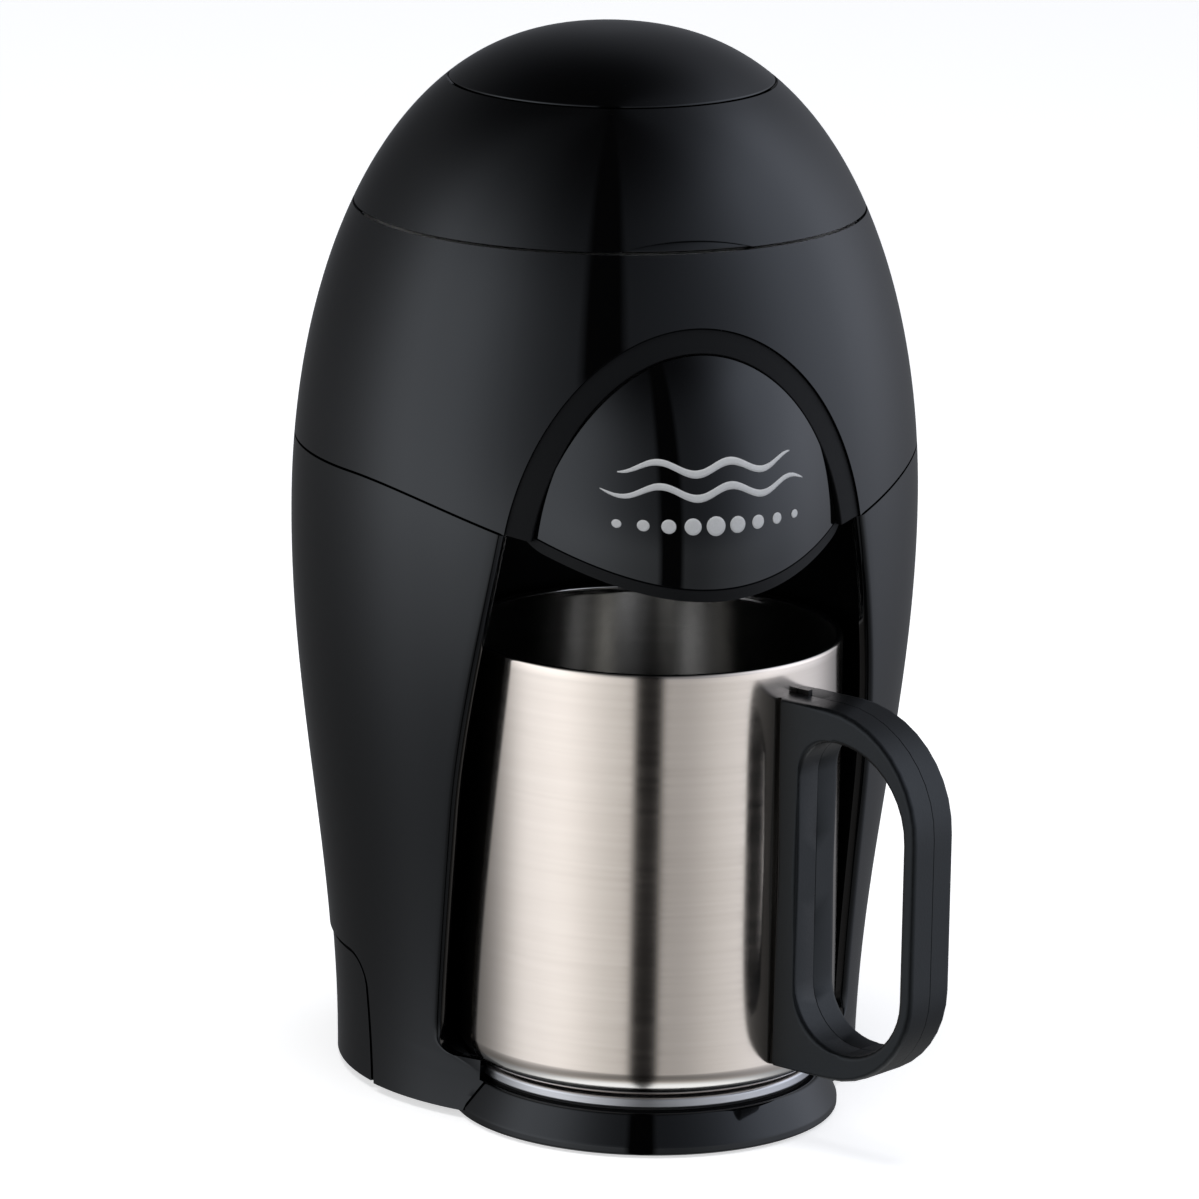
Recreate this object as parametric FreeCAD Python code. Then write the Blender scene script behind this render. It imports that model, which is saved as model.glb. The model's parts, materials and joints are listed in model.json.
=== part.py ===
"""One-cup drip coffee maker with a steel mug, in millimetres.

X is to the right, Y to the back and Z up. The sub-parts are drawn with the egg-shaped body's
axis at X = Y = 0 and the floor at Z = 0, and are then moved along Y as one, so that the origin
is on the floor under the middle of the whole machine.
"""
import FreeCAD
import Part
import math
import os

V = FreeCAD.Vector
UP = V(0, 0, 1)

# Egg-shaped body
BODY_FOOT_R = 52.7          # radius at the floor
BODY_BELLY_R = 62.55        # largest radius
BODY_BELLY_Z = 115.0        # height of the largest radius
BODY_TOP_Z = 211.4          # top of the lid
DOME_POWER_R = 2.4          # superellipse powers of the dome's side view
DOME_POWER_Z = 2.05
WALL = 2.4                  # moulded wall
SKIN_GAP = 0.25             # half of a seam line
BODY_BOTTOM_Z = 1.6         # lower edge of the housing

# Heights of the seams
SEAM_Z = 129.0              # between the housings, at the sides and back
SEAM_DIP_Y = -20.0          # where the seam begins to dip to the front
SEAM_DIP_R = 70.0
LID_Z = 176.0
CAP_Z = 201.0

# Front opening: an arch over the nose that widens into the mug bay
ARCH_HALF_W = 37.4
ARCH_RISE = 52.2
ARCH_Z = 110.0              # centre of the arch's ellipse
ARCH_END_Z = 122.0          # where the ellipse gives way to the bay's edge
BAY_HALF_W = 42.6
BAY_STRAIGHT_Z = 62.0       # below this the bay's edges are upright
BAY_FLOOR_Z = 12.7
FLOOR_HOLE_R = 36.5         # hole in the bay floor round the rounded foot of the mug
BAY_CORNER_R = 3.0
BAY_WALL = 2.2
BAY_TOP_Z = 119.2
BAND_W = 4.9                # width of the satin band round the nose
BAND_DEPTH = 0.5            # the band lies this far under the body's surface
BAND_BACK = 3.6             # and reaches this deep

# Mug and its place
MUG_Y = -32.8
MUG_R = 37.5
MUG_RIM_Z = 97.1
MUG_FOOT_Z = 11.2
MUG_WALL = 0.9
MUG_FOOT_R = 5.5            # rounding of the mug's lower edge
MUG_BEAD_R = 0.75           # rolled rim

# Mug handle, drawn in its own plane as reach from the mug's axis and height
HANDLE_TURN = -58.0         # degrees from +X towards the front
HANDLE_W = 12.3
HANDLE_REACH = 71.7
HANDLE_Z0 = 16.5
HANDLE_Z1 = 90.7
HANDLE_R = (0.0, 20.0, 23.0, 0.0)       # corners, anticlockwise from the lower one at the mug
GRIP_HOLE = (42.6, 68.6, 22.3, 84.2)    # reach from, reach to, height from, height to
GRIP_HOLE_R = (12.0, 13.5, 17.0, 8.5)
STRAP_T = 1.2
STRAP_RISE = 1.1            # the strap shows this far above the handle
STRAP_REACH = 40.2          # the strap's upright strip ends here
STRAP_SCREW_X = 45.0
STRAP_SCREW_Z = (20.2, 87.0)
SCREW_R = 0.9
SCREW_HEAD_R = 1.9

# Nose panel: one side view, upright and then a quarter ellipse, carried along a parabola
NOSE_FRONT_Y = -71.4
NOSE_BEND = 0.02            # how fast the parabola runs back to the sides
NOSE_DEPTH = 38.6
NOSE_Z = 118.0
NOSE_RISE = 50.6
NOSE_WALL = 2.2
NOSE_LIP = 2.2              # height of the brew head's lip under the panel
NOSE_LIP_GAP = 0.35
NOSE_LIP_HALF_W = 33.4
NOSE_CUT_Y = -50.7          # the lower edge is cut by a tilted plane through this point
NOSE_CUT_Z = 120.0
NOSE_CUT_SLOPE = 0.40

# Base under the mug
BASE_R = 38.45
BASE_TOP_R = 35.6
BASE_BOTTOM_Z = 0.5
BASE_BAND_Z = 2.2           # the upright band at the bottom of the flare
BASE_TOP_Z = 8.3
BASE_WALL = 2.2
PLATE_R = 34.4
PLATE_Z = (9.0, 11.0)
COVER_Z = (2.0, 4.0)
COVER_GAP = 1.65            # between the bottom cover and the base's leaning inside
FOOT_R = 5.5
FEET = ((-22.0, -50.0), (22.0, -50.0), (-25.0, 30.0), (25.0, 30.0))

# Cover screws: two in the lower housing, two in the rear skirt
FRONT_SCREW = (41.6, -19.6)
REAR_SCREW = (37.5, 27.0)
POST_R = (3.6, 4.2)         # front and rear posts
POST_TOP_Z = (11.0, 13.0)
PILOT_R = 1.25

# Rear skirt, switch and cord gland
SKIRT_Y = -15.0
SKIRT_LEAN = 2.0
SKIRT_TOP_Z = 27.5
SKIRT_CORNER_R = 7.0
SKIRT_INSET = 0.5
SWITCH_Z = 14.5
SWITCH_PAD_Y = 53.4
SWITCH_BACK_Y = 42.0
SWITCH_BODY = (19.5, 12.5)
SWITCH_FLANGE = (22.0, 15.0, 1.6)
ROCKER_SIZE = (16.6, 10.2)
ROCKER_PIVOT_Y = 51.0
ROCKER_OFF = 8.0            # degrees of tilt in the off position
GLAND_TURN = 40.0           # degrees round from the back
GLAND_Z = 13.0
GLAND_BORE_R = 3.3
GLAND_NECK_R = 5.5

# Water tank
TANK_GAP = 0.6
TANK_WALL = 1.8
TANK_Z = (38.0, 152.0)
TANK_FRONT_Y = 2.5
TANK_OUT = (25.0, 34.5)

# Water way: tube, hose and riser
TUBE_R = 4.5
TUBE_BORE_R = 3.3
HOSE_R = 6.0
HOSE_BORE_R = 4.55
HEATER_Z = 20.0
HEATER_LEG_Y = (18.0, 34.5)
HEATER_BEND_X = -12.0
ROD_R = 3.4
ROD_Z = 11.8
RISER_XY = (43.5, -4.0)
RISER_Z = (27.0, 160.0)
WIRE_R = 1.2

# Filter basket and filter
FILTER_Y = -17.0
BASKET_Z = (128.2, 155.5)
BASKET_R = (27.0, 30.4)
BASKET_WALL = 1.6
BASKET_FLANGE_R = 33.2
DRIP_R = 5.5
CEILING_Z = (119.5, 122.0)
FILTER_FLOOR_Z = 131.4
FILTER_R = (19.5, 27.4)
FILTER_RIBS = 8
FILTER_WALL = 1.4

# Lid hinge at the back
HINGE_Y = 52.2
HINGE_Z = 177.2
HINGE_R = 3.2
HINGE_PIN_R = 1.4
HINGE_CLEAR = 0.06
HINGE_LUG_X = (5.2, 10.0)


def box(x0, x1, y0, y1, z0, z1):
    """Box between two corners."""
    return Part.makeBox(x1 - x0, y1 - y0, z1 - z0, V(x0, y0, z0))


def rod(r, z0, z1, x=0.0, y=0.0):
    """Upright cylinder."""
    return Part.makeCylinder(r, z1 - z0, V(x, y, z0))


def ring(r_in, r_out, z0, z1, x=0.0, y=0.0):
    """Upright tube."""
    return rod(r_out, z0, z1, x, y).cut(rod(r_in, z0 - 1, z1 + 1, x, y))


def fuse(shapes):
    """One solid from touching solids."""
    whole = shapes[0].fuse(shapes[1:]) if len(shapes) > 1 else shapes[0]
    return whole.removeSplitter()


def slab(z0, z1):
    """Everything between two heights."""
    return box(-150, 150, -150, 150, z0, z1)


def spun(edges, y=0.0):
    """Solid of revolution about the upright line at Y = y."""
    face = Part.Face(Part.Wire(edges))
    return face.revolve(V(0, y, 0), UP, 360)


def line(a, b):
    return Part.makeLine(a, b)


def egg_points(offset):
    """Side view of the body: a half cosine up to the belly, then a superellipse dome."""
    points = []
    swell = BODY_BELLY_R - BODY_FOOT_R
    for k in range(9):
        z = -8.0 + (BODY_BELLY_Z + 8.0) * k / 9.0
        turn = math.pi * z / BODY_BELLY_Z
        r = BODY_FOOT_R + swell * (1 - math.cos(turn)) / 2
        slope = swell * math.sin(turn) / 2 * math.pi / BODY_BELLY_Z
        size = math.hypot(1, slope)
        points.append(V(r - offset / size, 0, z + offset * slope / size))
    rise = BODY_TOP_Z - BODY_BELLY_Z
    for k in range(13):
        a = math.pi / 2 * k / 12
        s = math.cos(a) ** (2 / DOME_POWER_R) if k < 12 else 0.0
        u = math.sin(a) ** (2 / DOME_POWER_Z)
        nr = DOME_POWER_R * s ** (DOME_POWER_R - 1) / BODY_BELLY_R
        nz = DOME_POWER_Z * u ** (DOME_POWER_Z - 1) / rise
        size = math.hypot(nr, nz)
        r = BODY_BELLY_R * s - offset * nr / size
        points.append(V(r, 0, BODY_BELLY_Z + rise * u - offset * nz / size))
    return points


def egg(offset=0.0):
    """The whole body, drawn in by an offset."""
    points = egg_points(offset)
    curve = Part.BSplineCurve()
    curve.interpolate(Points=points, InitialTangent=UP, FinalTangent=V(-1, 0, 0))
    low, top = V(0, 0, points[0].z), points[-1]
    return spun([line(low, points[0]), curve.toShape(), line(top, low)])


def egg_shell(outer, inner):
    return egg(outer).cut(egg(inner))


def prism_x(edges, half=150.0):
    """Side-view outline carried across the whole width."""
    face = Part.Face(Part.Wire(edges))
    face.translate(V(-half, 0, 0))
    return face.extrude(V(2 * half, 0, 0))


def below_seam(raise_by):
    """Everything under the seam between the housings: level, then an arc down to the front."""
    top = SEAM_Z + raise_by
    centre = V(0, SEAM_DIP_Y, top - SEAM_DIP_R)
    front = math.radians(60)
    mid = centre + V(0, -math.sin(front / 2), math.cos(front / 2)) * SEAM_DIP_R
    end = centre + V(0, -math.sin(front), math.cos(front)) * SEAM_DIP_R
    start = V(0, SEAM_DIP_Y, top)
    back, low = V(0, 150, top), V(0, 150, -50)
    far_low = V(0, end.y, -50)
    return prism_x([line(back, start), Part.Arc(start, mid, end).toShape(), line(end, far_low),
                    line(far_low, low), line(low, back)])


def arch_prism(inset, z0, y0=-5.0):
    """Arched block through the front: an ellipse on upright sides."""
    centre = V(0, y0, ARCH_Z)
    tall, wide = ARCH_RISE - inset, ARCH_HALF_W - inset
    ellipse = Part.Ellipse(centre + UP * tall, centre + V(wide, 0, 0), centre)
    arc = Part.ArcOfEllipse(ellipse, -math.pi / 2, math.pi / 2).toShape()
    a, b = V(-wide, y0, z0), V(wide, y0, z0)
    ends = [V(-wide, y0, ARCH_Z), V(wide, y0, ARCH_Z)]
    edges = [arc, line(ends[1], b), line(b, a), line(a, ends[0])]
    face = Part.Face(Part.Wire(Part.__sortEdges__(edges)))
    return face.extrude(V(0, -95.0 - y0, 0))


def opening_edge(side):
    """Edge from the arch's end down to the upright part of the bay, for one side."""
    drop = ARCH_END_Z - ARCH_Z
    x = ARCH_HALF_W * math.sqrt(1 - (drop / ARCH_RISE) ** 2)
    slope = (ARCH_HALF_W / ARCH_RISE) ** 2 * drop / x
    points = [V(side * x, 0, ARCH_END_Z), V(side * 39.4, 0, 102.0), V(side * 41.6, 0, 84.0),
              V(side * BAY_HALF_W, 0, BAY_STRAIGHT_Z)]
    curve = Part.BSplineCurve()
    curve.interpolate(Points=points, InitialTangent=V(side * slope, 0, -1), FinalTangent=V(0, 0, -1))
    return points, curve.toShape()


def opening_prism():
    """The whole front opening: arch above, mug bay below, with rounded lower corners."""
    right, right_edge = opening_edge(1)
    left, left_edge = opening_edge(-1)
    centre = V(0, 0, ARCH_Z)
    ellipse = Part.Ellipse(centre + UP * ARCH_RISE, centre + V(ARCH_HALF_W, 0, 0), centre)
    turn = math.acos((ARCH_END_Z - ARCH_Z) / ARCH_RISE)
    arc = Part.ArcOfEllipse(ellipse, -turn, turn).toShape()
    w, z, c = BAY_HALF_W, BAY_FLOOR_Z, BAY_CORNER_R
    cut = c * (1 - math.sqrt(0.5))
    edges = [arc, right_edge, left_edge, line(V(-w + c, 0, z), V(w - c, 0, z))]
    for side in (-1, 1):
        edges.append(line(V(side * w, 0, BAY_STRAIGHT_Z), V(side * w, 0, z + c)))
        edges.append(Part.Arc(V(side * w, 0, z + c), V(side * (w - cut), 0, z + cut),
                              V(side * (w - c), 0, z)).toShape())
    face = Part.Face(Part.Wire(Part.__sortEdges__(edges)))
    face.translate(V(0, -15, 0))
    return face.extrude(V(0, -80, 0))


def bay_block(r, z0, z1):
    """Plan of the mug bay carried upwards: round behind the mug's axis, straight in front."""
    return rod(r, z0, z1, 0, MUG_Y).fuse(box(-r, r, -110, MUG_Y, z0, z1))


def base_cone(gap, z0, z1):
    """Flared base as a block, with a gap round it."""
    lower = rod(BASE_R + gap, z0, BASE_BAND_Z, 0, MUG_Y)
    upper = Part.makeCone(BASE_R + gap, BASE_TOP_R + gap, z1 - BASE_BAND_Z, V(0, MUG_Y, BASE_BAND_Z))
    return lower.fuse(upper)


def skirt_prism(gap):
    """Side view of the rear skirt: a leaning front edge and a rounded top corner."""
    z1, r = SKIRT_TOP_Z + gap, SKIRT_CORNER_R + gap
    low = V(0, SKIRT_Y - gap, -20)
    bend = V(0, SKIRT_Y + SKIRT_LEAN - gap, z1 - r)
    top = V(0, bend.y + r, z1)
    mid = V(0, top.y - r * math.sqrt(0.5), bend.z + r * math.sqrt(0.5))
    back, back_low = V(0, 120, z1), V(0, 120, -20)
    return prism_x([line(low, bend), Part.Arc(bend, mid, top).toShape(), line(top, back),
                    line(back, back_low), line(back_low, low)])


def pipe(points, radius, bend):
    """Round bar along straight runs joined by tangent arcs."""
    edges, here = [], points[0]
    for before, corner, after in zip(points, points[1:], points[2:]):
        d0, d1 = (corner - before).normalize(), (after - corner).normalize()
        half = d0.getAngle(d1) / 2
        cut = bend * math.tan(half)
        a, b = corner - d0 * cut, corner + d1 * cut
        inward = (d1 - d0).normalize()
        mid = corner + inward * (bend / math.cos(half) - bend)
        edges += [line(here, a), Part.Arc(a, mid, b).toShape()]
        here = b
    edges.append(line(here, points[-1]))
    path = Part.Wire(edges)
    start = (points[1] - points[0]).normalize()
    section = Part.Wire(Part.makeCircle(radius, points[0], start))
    return path.makePipeShell([section], True, False)


def hose(points, r_in, r_out, bend):
    """Hollow tube along runs and arcs."""
    return pipe(points, r_out, bend).cut(pipe(points, r_in, bend))


def lower_housing():
    """Lower shell with the mug bay, its floor and the front screw posts."""
    outer = egg_shell(0, WALL).common(below_seam(-SKIN_GAP)).common(slab(BODY_BOTTOM_Z, 200))
    outer = outer.cut(opening_prism())
    under = BAY_FLOOR_Z - 2.3
    wall = bay_block(BAY_HALF_W + BAY_WALL, under, BAY_TOP_Z).cut(bay_block(BAY_HALF_W, 0, 150))
    floor = bay_block(BAY_HALF_W + 0.5, under, BAY_FLOOR_Z).cut(rod(FLOOR_HOLE_R, 0, 30, 0, MUG_Y))
    inside = egg(0.0).common(slab(0, 128))
    shape = fuse([outer, wall.common(inside), floor.common(inside)])
    x, y = FRONT_SCREW
    posts = [rod(POST_R[0], COVER_Z[1] + 0.1, POST_TOP_Z[0], side * x, y) for side in (-1, 1)]
    shape = fuse([shape] + posts)
    holes = [rod(PILOT_R, 0, POST_TOP_Z[0] - 1.5, side * x, y) for side in (-1, 1)]
    shape = shape.cut(fuse_loose(holes)).cut(base_cone(0.3, -5, 12.0))
    shape = shape.cut(bay_block(FLOOR_HOLE_R, BASE_TOP_Z, 30))
    return shape.cut(skirt_prism(SKIN_GAP).common(egg_shell(-5, WALL + 1.0)))


def fuse_loose(shapes):
    return Part.makeCompound(shapes)


def hinge_rod(r, x0, x1):
    """Cylinder about the lid hinge's axis."""
    return Part.makeCylinder(r, x1 - x0, V(x0, HINGE_Y, HINGE_Z), V(1, 0, 0))


def upper_housing():
    """Upper shell round the filter, with two hinge lugs at the back."""
    shell = egg_shell(0, WALL).cut(below_seam(SKIN_GAP)).common(slab(0, LID_Z - SKIN_GAP))
    shell = shell.cut(opening_prism())
    lugs = []
    for side in (-1, 1):
        x0, x1 = sorted((side * HINGE_LUG_X[0], side * HINGE_LUG_X[1]))
        eye = hinge_rod(HINGE_R, x0, x1)
        web = box(x0, x1, HINGE_Y - HINGE_R, HINGE_Y + HINGE_R, 164.0, HINGE_Z)
        lugs.append(eye.fuse(web).cut(egg(WALL / 2)))
    shape = fuse([shell] + lugs)
    sweep = egg(-0.4).common(slab(LID_Z - SKIN_GAP, 220))
    knuckle_room = hinge_rod(HINGE_R + 0.4, -HINGE_LUG_X[0], HINGE_LUG_X[0])
    return shape.cut(hinge_rod(HINGE_PIN_R, -20, 20)).cut(sweep).cut(knuckle_room)


def brew_head():
    """Inner satin shell: the band round the nose, the bay's ceiling and the basket's seat."""
    band = egg_shell(BAND_DEPTH, BAND_BACK).common(arch_prism(0.15, 100))
    band = band.cut(arch_prism(BAND_W, 50)).cut(below_seam(SKIN_GAP))
    z0, z1 = CEILING_Z
    plate = bay_block(BAY_HALF_W + BAY_WALL - 0.3, z0, z1).common(egg(WALL + 0.4))
    plate = plate.cut(nose_shell(0.25))
    seat = ring(20.0, 26.0, z1 - 0.5, BASKET_Z[0] - 0.2, 0, FILTER_Y)
    ties = [box(x, x + 5.0, -54.0, -44.0, z0, z1 + 4.0) for x in (-36.0, 31.0)]
    ties = fuse_loose(ties).common(egg(WALL + 0.4)).cut(nose_shell(0.25))
    shape = fuse([band, plate, seat, nose_lip()] + ties.Solids)
    return shape.cut(rod(DRIP_R + 2.0, z0 - 1, z1 + 1, 0, FILTER_Y))


def nose_dome(offset):
    """Block of the nose: its side view carried along a parabola, set back by an offset."""
    tall = NOSE_RISE - offset
    wires = []
    for step in range(-5, 6):
        x = 8.4 * step
        front = NOSE_FRONT_Y + NOSE_BEND * x * x + offset
        centre = V(x, front + NOSE_DEPTH, NOSE_Z)
        ellipse = Part.Ellipse(centre + UP * tall, centre - V(0, NOSE_DEPTH, 0), centre)
        arc = Part.ArcOfEllipse(ellipse, 0, math.pi / 2).toShape()
        side, foot, low = V(x, front, NOSE_Z), V(x, front, 90), V(x, centre.y, 90)
        wires.append(Part.Wire([arc, line(side, foot), line(foot, low), line(low, centre + UP * tall)]))
    return Part.makeLoft(wires, True, False)


def nose_slice(z0, z1):
    """Space between two tilted planes, given by their heights at the nose's cutting line."""
    def at(y, z):
        return V(0, y, z + NOSE_CUT_SLOPE * (y - NOSE_CUT_Y))
    a, b, c, d = at(0, z0), at(-110, z0), at(-110, z1), at(0, z1)
    return prism_x([line(a, b), line(b, c), line(c, d), line(d, a)])


def nose_lip():
    """Tilted underside of the nose, whose front edge shows as a lip under the panel."""
    lip = nose_dome(0.0).common(nose_slice(NOSE_CUT_Z, NOSE_CUT_Z + NOSE_LIP))
    lip = lip.common(box(-NOSE_LIP_HALF_W, NOSE_LIP_HALF_W, -100, -47, 60, 200))
    return lip.cut(nose_shell(0.2))


def nose_shell(gap):
    """The nose with its rim wall and the flange behind the band, grown by a gap."""
    skin = nose_dome(-gap).cut(nose_dome(NOSE_WALL + gap))
    skin = skin.common(arch_prism(BAND_W + 0.2 - gap, 60)).common(box(-60, 60, -100, -45, 60, 200))
    rim = egg_shell(0.3 - gap, 5.2 + gap).common(arch_prism(BAND_W + 0.2 - gap, 60))
    rim = rim.cut(arch_prism(BAND_W + 2.2 + gap, 50)).common(nose_dome(-gap))
    flange = egg_shell(BAND_BACK + 0.15 - gap, 5.2 + gap).common(arch_prism(BAND_W - 2.6 - gap, 60))
    flange = flange.cut(arch_prism(BAND_W + 2.2 + gap, 50))
    above = nose_slice(NOSE_CUT_Z + NOSE_LIP + NOSE_LIP_GAP - gap, 300)
    frame = fuse([rim, flange]).common(slab(CEILING_Z[1] + 1.2 - gap, 200))
    return fuse([skin, frame]).common(above)


def nose_panel():
    """Gloss nose cover."""
    return nose_shell(0.0)


def lid_parts():
    """Lid shell, inlaid cap, inner plate and gasket."""
    ledge = egg_shell(2.5, 4.2).common(slab(CAP_Z - 5.0, CAP_Z + 2.0))
    shell = egg_shell(0, 2.6).common(slab(LID_Z + SKIN_GAP, CAP_Z - 0.15))
    shell = fuse([shell, ledge])
    inner, outer = HINGE_LUG_X
    half = inner - 0.3
    knuckle = hinge_rod(HINGE_R, -half, half)
    web = box(-half, half, 44, HINGE_Y, HINGE_Z - 0.4, HINGE_Z + HINGE_R)
    lug_room = [hinge_rod(HINGE_R + 0.4, half, outer + 0.3), hinge_rod(HINGE_R + 0.4, -outer - 0.3, -half)]
    shell = shell.cut(fuse_loose(lug_room))
    shell = fuse([shell, knuckle.fuse(web).cut(egg(1.2))])
    shell = shell.cut(hinge_rod(HINGE_PIN_R + HINGE_CLEAR, -20, 20))
    wide, high = 13.5, 1.9
    notch_r = (wide ** 2 + high ** 2) / (2 * high)
    notch = Part.makeCylinder(notch_r, 12, V(0, -60.4, LID_Z + SKIN_GAP + high - notch_r), V(0, 1, 0))
    shell = shell.cut(notch.common(slab(LID_Z - 1, LID_Z + 5)))
    cap = egg_shell(0, 2.2).common(slab(CAP_Z + 0.15, 220))
    plate = fuse([rod(46.6, 177.0, 178.6), ring(44.8, 46.6, 172.0, 177.5)])
    ribs = [box(-34, 34, y - 0.7, y + 0.7, 178.5, 182.0) for y in (-20.0, 20.0)]
    plate = fuse([plate] + ribs)
    gasket = ring(46.7, 47.7, 173.6, 175.2)
    return {"lid_shell": shell, "lid_cap": cap, "lid_inner_plate": plate, "lid_gasket": gasket}


def hinge_pin():
    """Steel pin through both lugs and the lid's knuckle."""
    return hinge_rod(HINGE_PIN_R, -HINGE_LUG_X[1], HINGE_LUG_X[1])


def base_parts():
    """Flared base, mug plate, its gasket, the bottom cover, feet and screws."""
    cone = base_cone(0, BASE_BOTTOM_Z, BASE_TOP_Z).cut(base_cone(-BASE_WALL, -5, BASE_TOP_Z - 2.0))
    front = cone.common(box(-60, 60, -90, -22, 0, 30))
    deck = rod(BASE_TOP_R, BASE_TOP_Z - 2.0, BASE_TOP_Z, 0, MUG_Y)
    skirt = fuse([front, deck])
    plate = rod(PLATE_R, PLATE_Z[0], PLATE_Z[1], 0, MUG_Y)
    plate = plate.makeFillet(0.5, [e for e in plate.Edges if e.BoundBox.ZMin > PLATE_Z[1] - 0.01])
    gasket = ring(30.0, PLATE_R - 0.9, BASE_TOP_Z + 0.05, PLATE_Z[0] - 0.05, 0, MUG_Y)
    cover = rod(BODY_FOOT_R - WALL - 0.6, COVER_Z[0], COVER_Z[1])
    under_r = BASE_R - BASE_WALL - COVER_GAP
    cover = cover.fuse(rod(under_r, COVER_Z[0], COVER_Z[1], 0, MUG_Y))
    around = base_cone(0.3, -5, 20).cut(rod(under_r, -5, 30, 0, MUG_Y))
    cover = cover.cut(around.common(box(-60, 60, -90, -21.6, -5, 30)))
    vents = [box(-12, 12, 8.0 + 5 * k, 10.0 + 5 * k, 0, 9) for k in range(5)]
    spots = screw_spots()
    drill = [rod(1.9, 0, 9, x, y) for x, y in spots]
    cover = cover.removeSplitter().cut(fuse_loose(vents + drill))
    feet = []
    for x, y in FEET:
        pad = rod(FOOT_R, 0, COVER_Z[0] - 0.02, x, y)
        feet.append(pad.makeChamfer(0.4, [e for e in pad.Edges if e.BoundBox.ZMax < 0.01]))
    screws = []
    for x, y in spots:
        screws.append(rod(3.0, COVER_Z[0] - 1.2, COVER_Z[0], x, y).fuse(rod(1.2, COVER_Z[0], 9.0, x, y)))
    return {"base_skirt": skirt, "mug_plate": plate, "plate_gasket": gasket, "bottom_cover": cover,
            "feet": fuse_loose(feet), "cover_screws": fuse_loose(screws)}


def screw_spots():
    """Places of the four cover screws: two in the lower housing, two in the rear skirt."""
    return [(side * x, y) for x, y in (FRONT_SCREW, REAR_SCREW) for side in (-1, 1)]


def rear_skirt():
    """Low rear panel with the switch pad, screw posts and the cord gland's hole."""
    shell = egg_shell(SKIRT_INSET, SKIRT_INSET + WALL).common(skirt_prism(0))
    shell = shell.common(slab(BODY_BOTTOM_Z, 40))
    w, h, _ = SWITCH_FLANGE
    pad = box(-w / 2 - 2, w / 2 + 2, 47.5, SWITCH_PAD_Y, SWITCH_Z - h / 2 - 2, SWITCH_Z + h / 2 + 2)
    x, y = REAR_SCREW
    posts = [rod(POST_R[1], COVER_Z[1] + 0.1, POST_TOP_Z[1], side * x, y) for side in (-1, 1)]
    shape = fuse([shell, pad] + posts)
    half_w, half_h = SWITCH_BODY[0] / 2 + 0.2, SWITCH_BODY[1] / 2 + 0.2
    shape = shape.cut(box(-half_w, half_w, 30, 60, SWITCH_Z - half_h, SWITCH_Z + half_h))
    holes = [rod(PILOT_R, 0, POST_TOP_Z[1] - 1.5, side * x, y) for side in (-1, 1)]
    bore = Part.makeCylinder(GLAND_NECK_R + 0.1, 30, V(0, 35, GLAND_Z), V(0, 1, 0))
    bore.rotate(V(0, 0, 0), UP, GLAND_TURN)
    return shape.cut(fuse_loose(holes)).cut(bore)


def cord_gland():
    """Bushing of the cord inlet, square to the rear skirt."""
    neck = Part.makeCylinder(GLAND_NECK_R, 10.4, V(0, 43.0, GLAND_Z), V(0, 1, 0))
    flange = Part.makeCylinder(7.2, 2.6, V(0, 53.4, GLAND_Z), V(0, 1, 0))
    shape = neck.fuse(flange).removeSplitter()
    outer = [e for e in shape.Edges if e.BoundBox.YMin > 55.9]
    shape = shape.makeFillet(0.8, outer)
    shape = shape.cut(Part.makeCylinder(GLAND_BORE_R, 40, V(0, 30, GLAND_Z), V(0, 1, 0)))
    shape.rotate(V(0, 0, 0), UP, GLAND_TURN)
    return shape


def switch_parts():
    """Switch frame and its rocker, tilted to the off position."""
    w, h, t = SWITCH_FLANGE
    bw, bh = SWITCH_BODY
    y0 = SWITCH_PAD_Y + 0.05
    flange = box(-w / 2, w / 2, y0, y0 + t, SWITCH_Z - h / 2, SWITCH_Z + h / 2)
    body = box(-bw / 2, bw / 2, SWITCH_BACK_Y, y0 + 0.1, SWITCH_Z - bh / 2, SWITCH_Z + bh / 2)
    rw, rh = ROCKER_SIZE
    well = box(-rw / 2 - 0.9, rw / 2 + 0.9, 46.0, 60, SWITCH_Z - rh / 2 - 0.3, SWITCH_Z + rh / 2 + 0.3)
    pin = Part.makeCylinder(1.0, bh - 0.6, V(0, ROCKER_PIVOT_Y, SWITCH_Z - bh / 2 + 0.3))
    frame = fuse([flange, body]).cut(well)
    frame = frame.cut(Part.makeCylinder(1.05, bh - 0.6, V(0, ROCKER_PIVOT_Y, SWITCH_Z - bh / 2 + 0.3)))
    z0 = SWITCH_Z - rh / 2
    a, b = V(-rw / 2, 51.4, z0), V(-rw / 2, 56.0, z0)
    c, d = V(rw / 2, 56.0, z0), V(rw / 2, 51.4, z0)
    tip_a, tip_b = V(2.0, 48.4, z0), V(-2.0, 48.4, z0)
    dip = Part.Arc(b, V(0, 55.1, z0), c).toShape()
    outline = [line(a, b), dip, line(c, d), line(d, tip_a), line(tip_a, tip_b), line(tip_b, a)]
    rocker = Part.Face(Part.Wire(outline)).extrude(UP * rh)
    rocker = rocker.fuse(pin).removeSplitter()
    rocker.rotate(V(0, ROCKER_PIVOT_Y, 0), UP, -ROCKER_OFF)
    return {"switch_frame": frame, "switch_rocker": rocker}


def tank_block(gap, z0, z1):
    """Crescent block behind the mug bay and the filter, drawn in by a gap."""
    block = egg(WALL + TANK_GAP + gap).common(box(-80, 80, TANK_FRONT_Y + gap, 80, z0, z1))
    block = block.cut(bay_block(BAY_HALF_W + BAY_WALL + TANK_GAP + gap, 0, 220))
    return block.cut(rod(BASKET_FLANGE_R + 2.3 + gap, 0, 220, 0, FILTER_Y))


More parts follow.
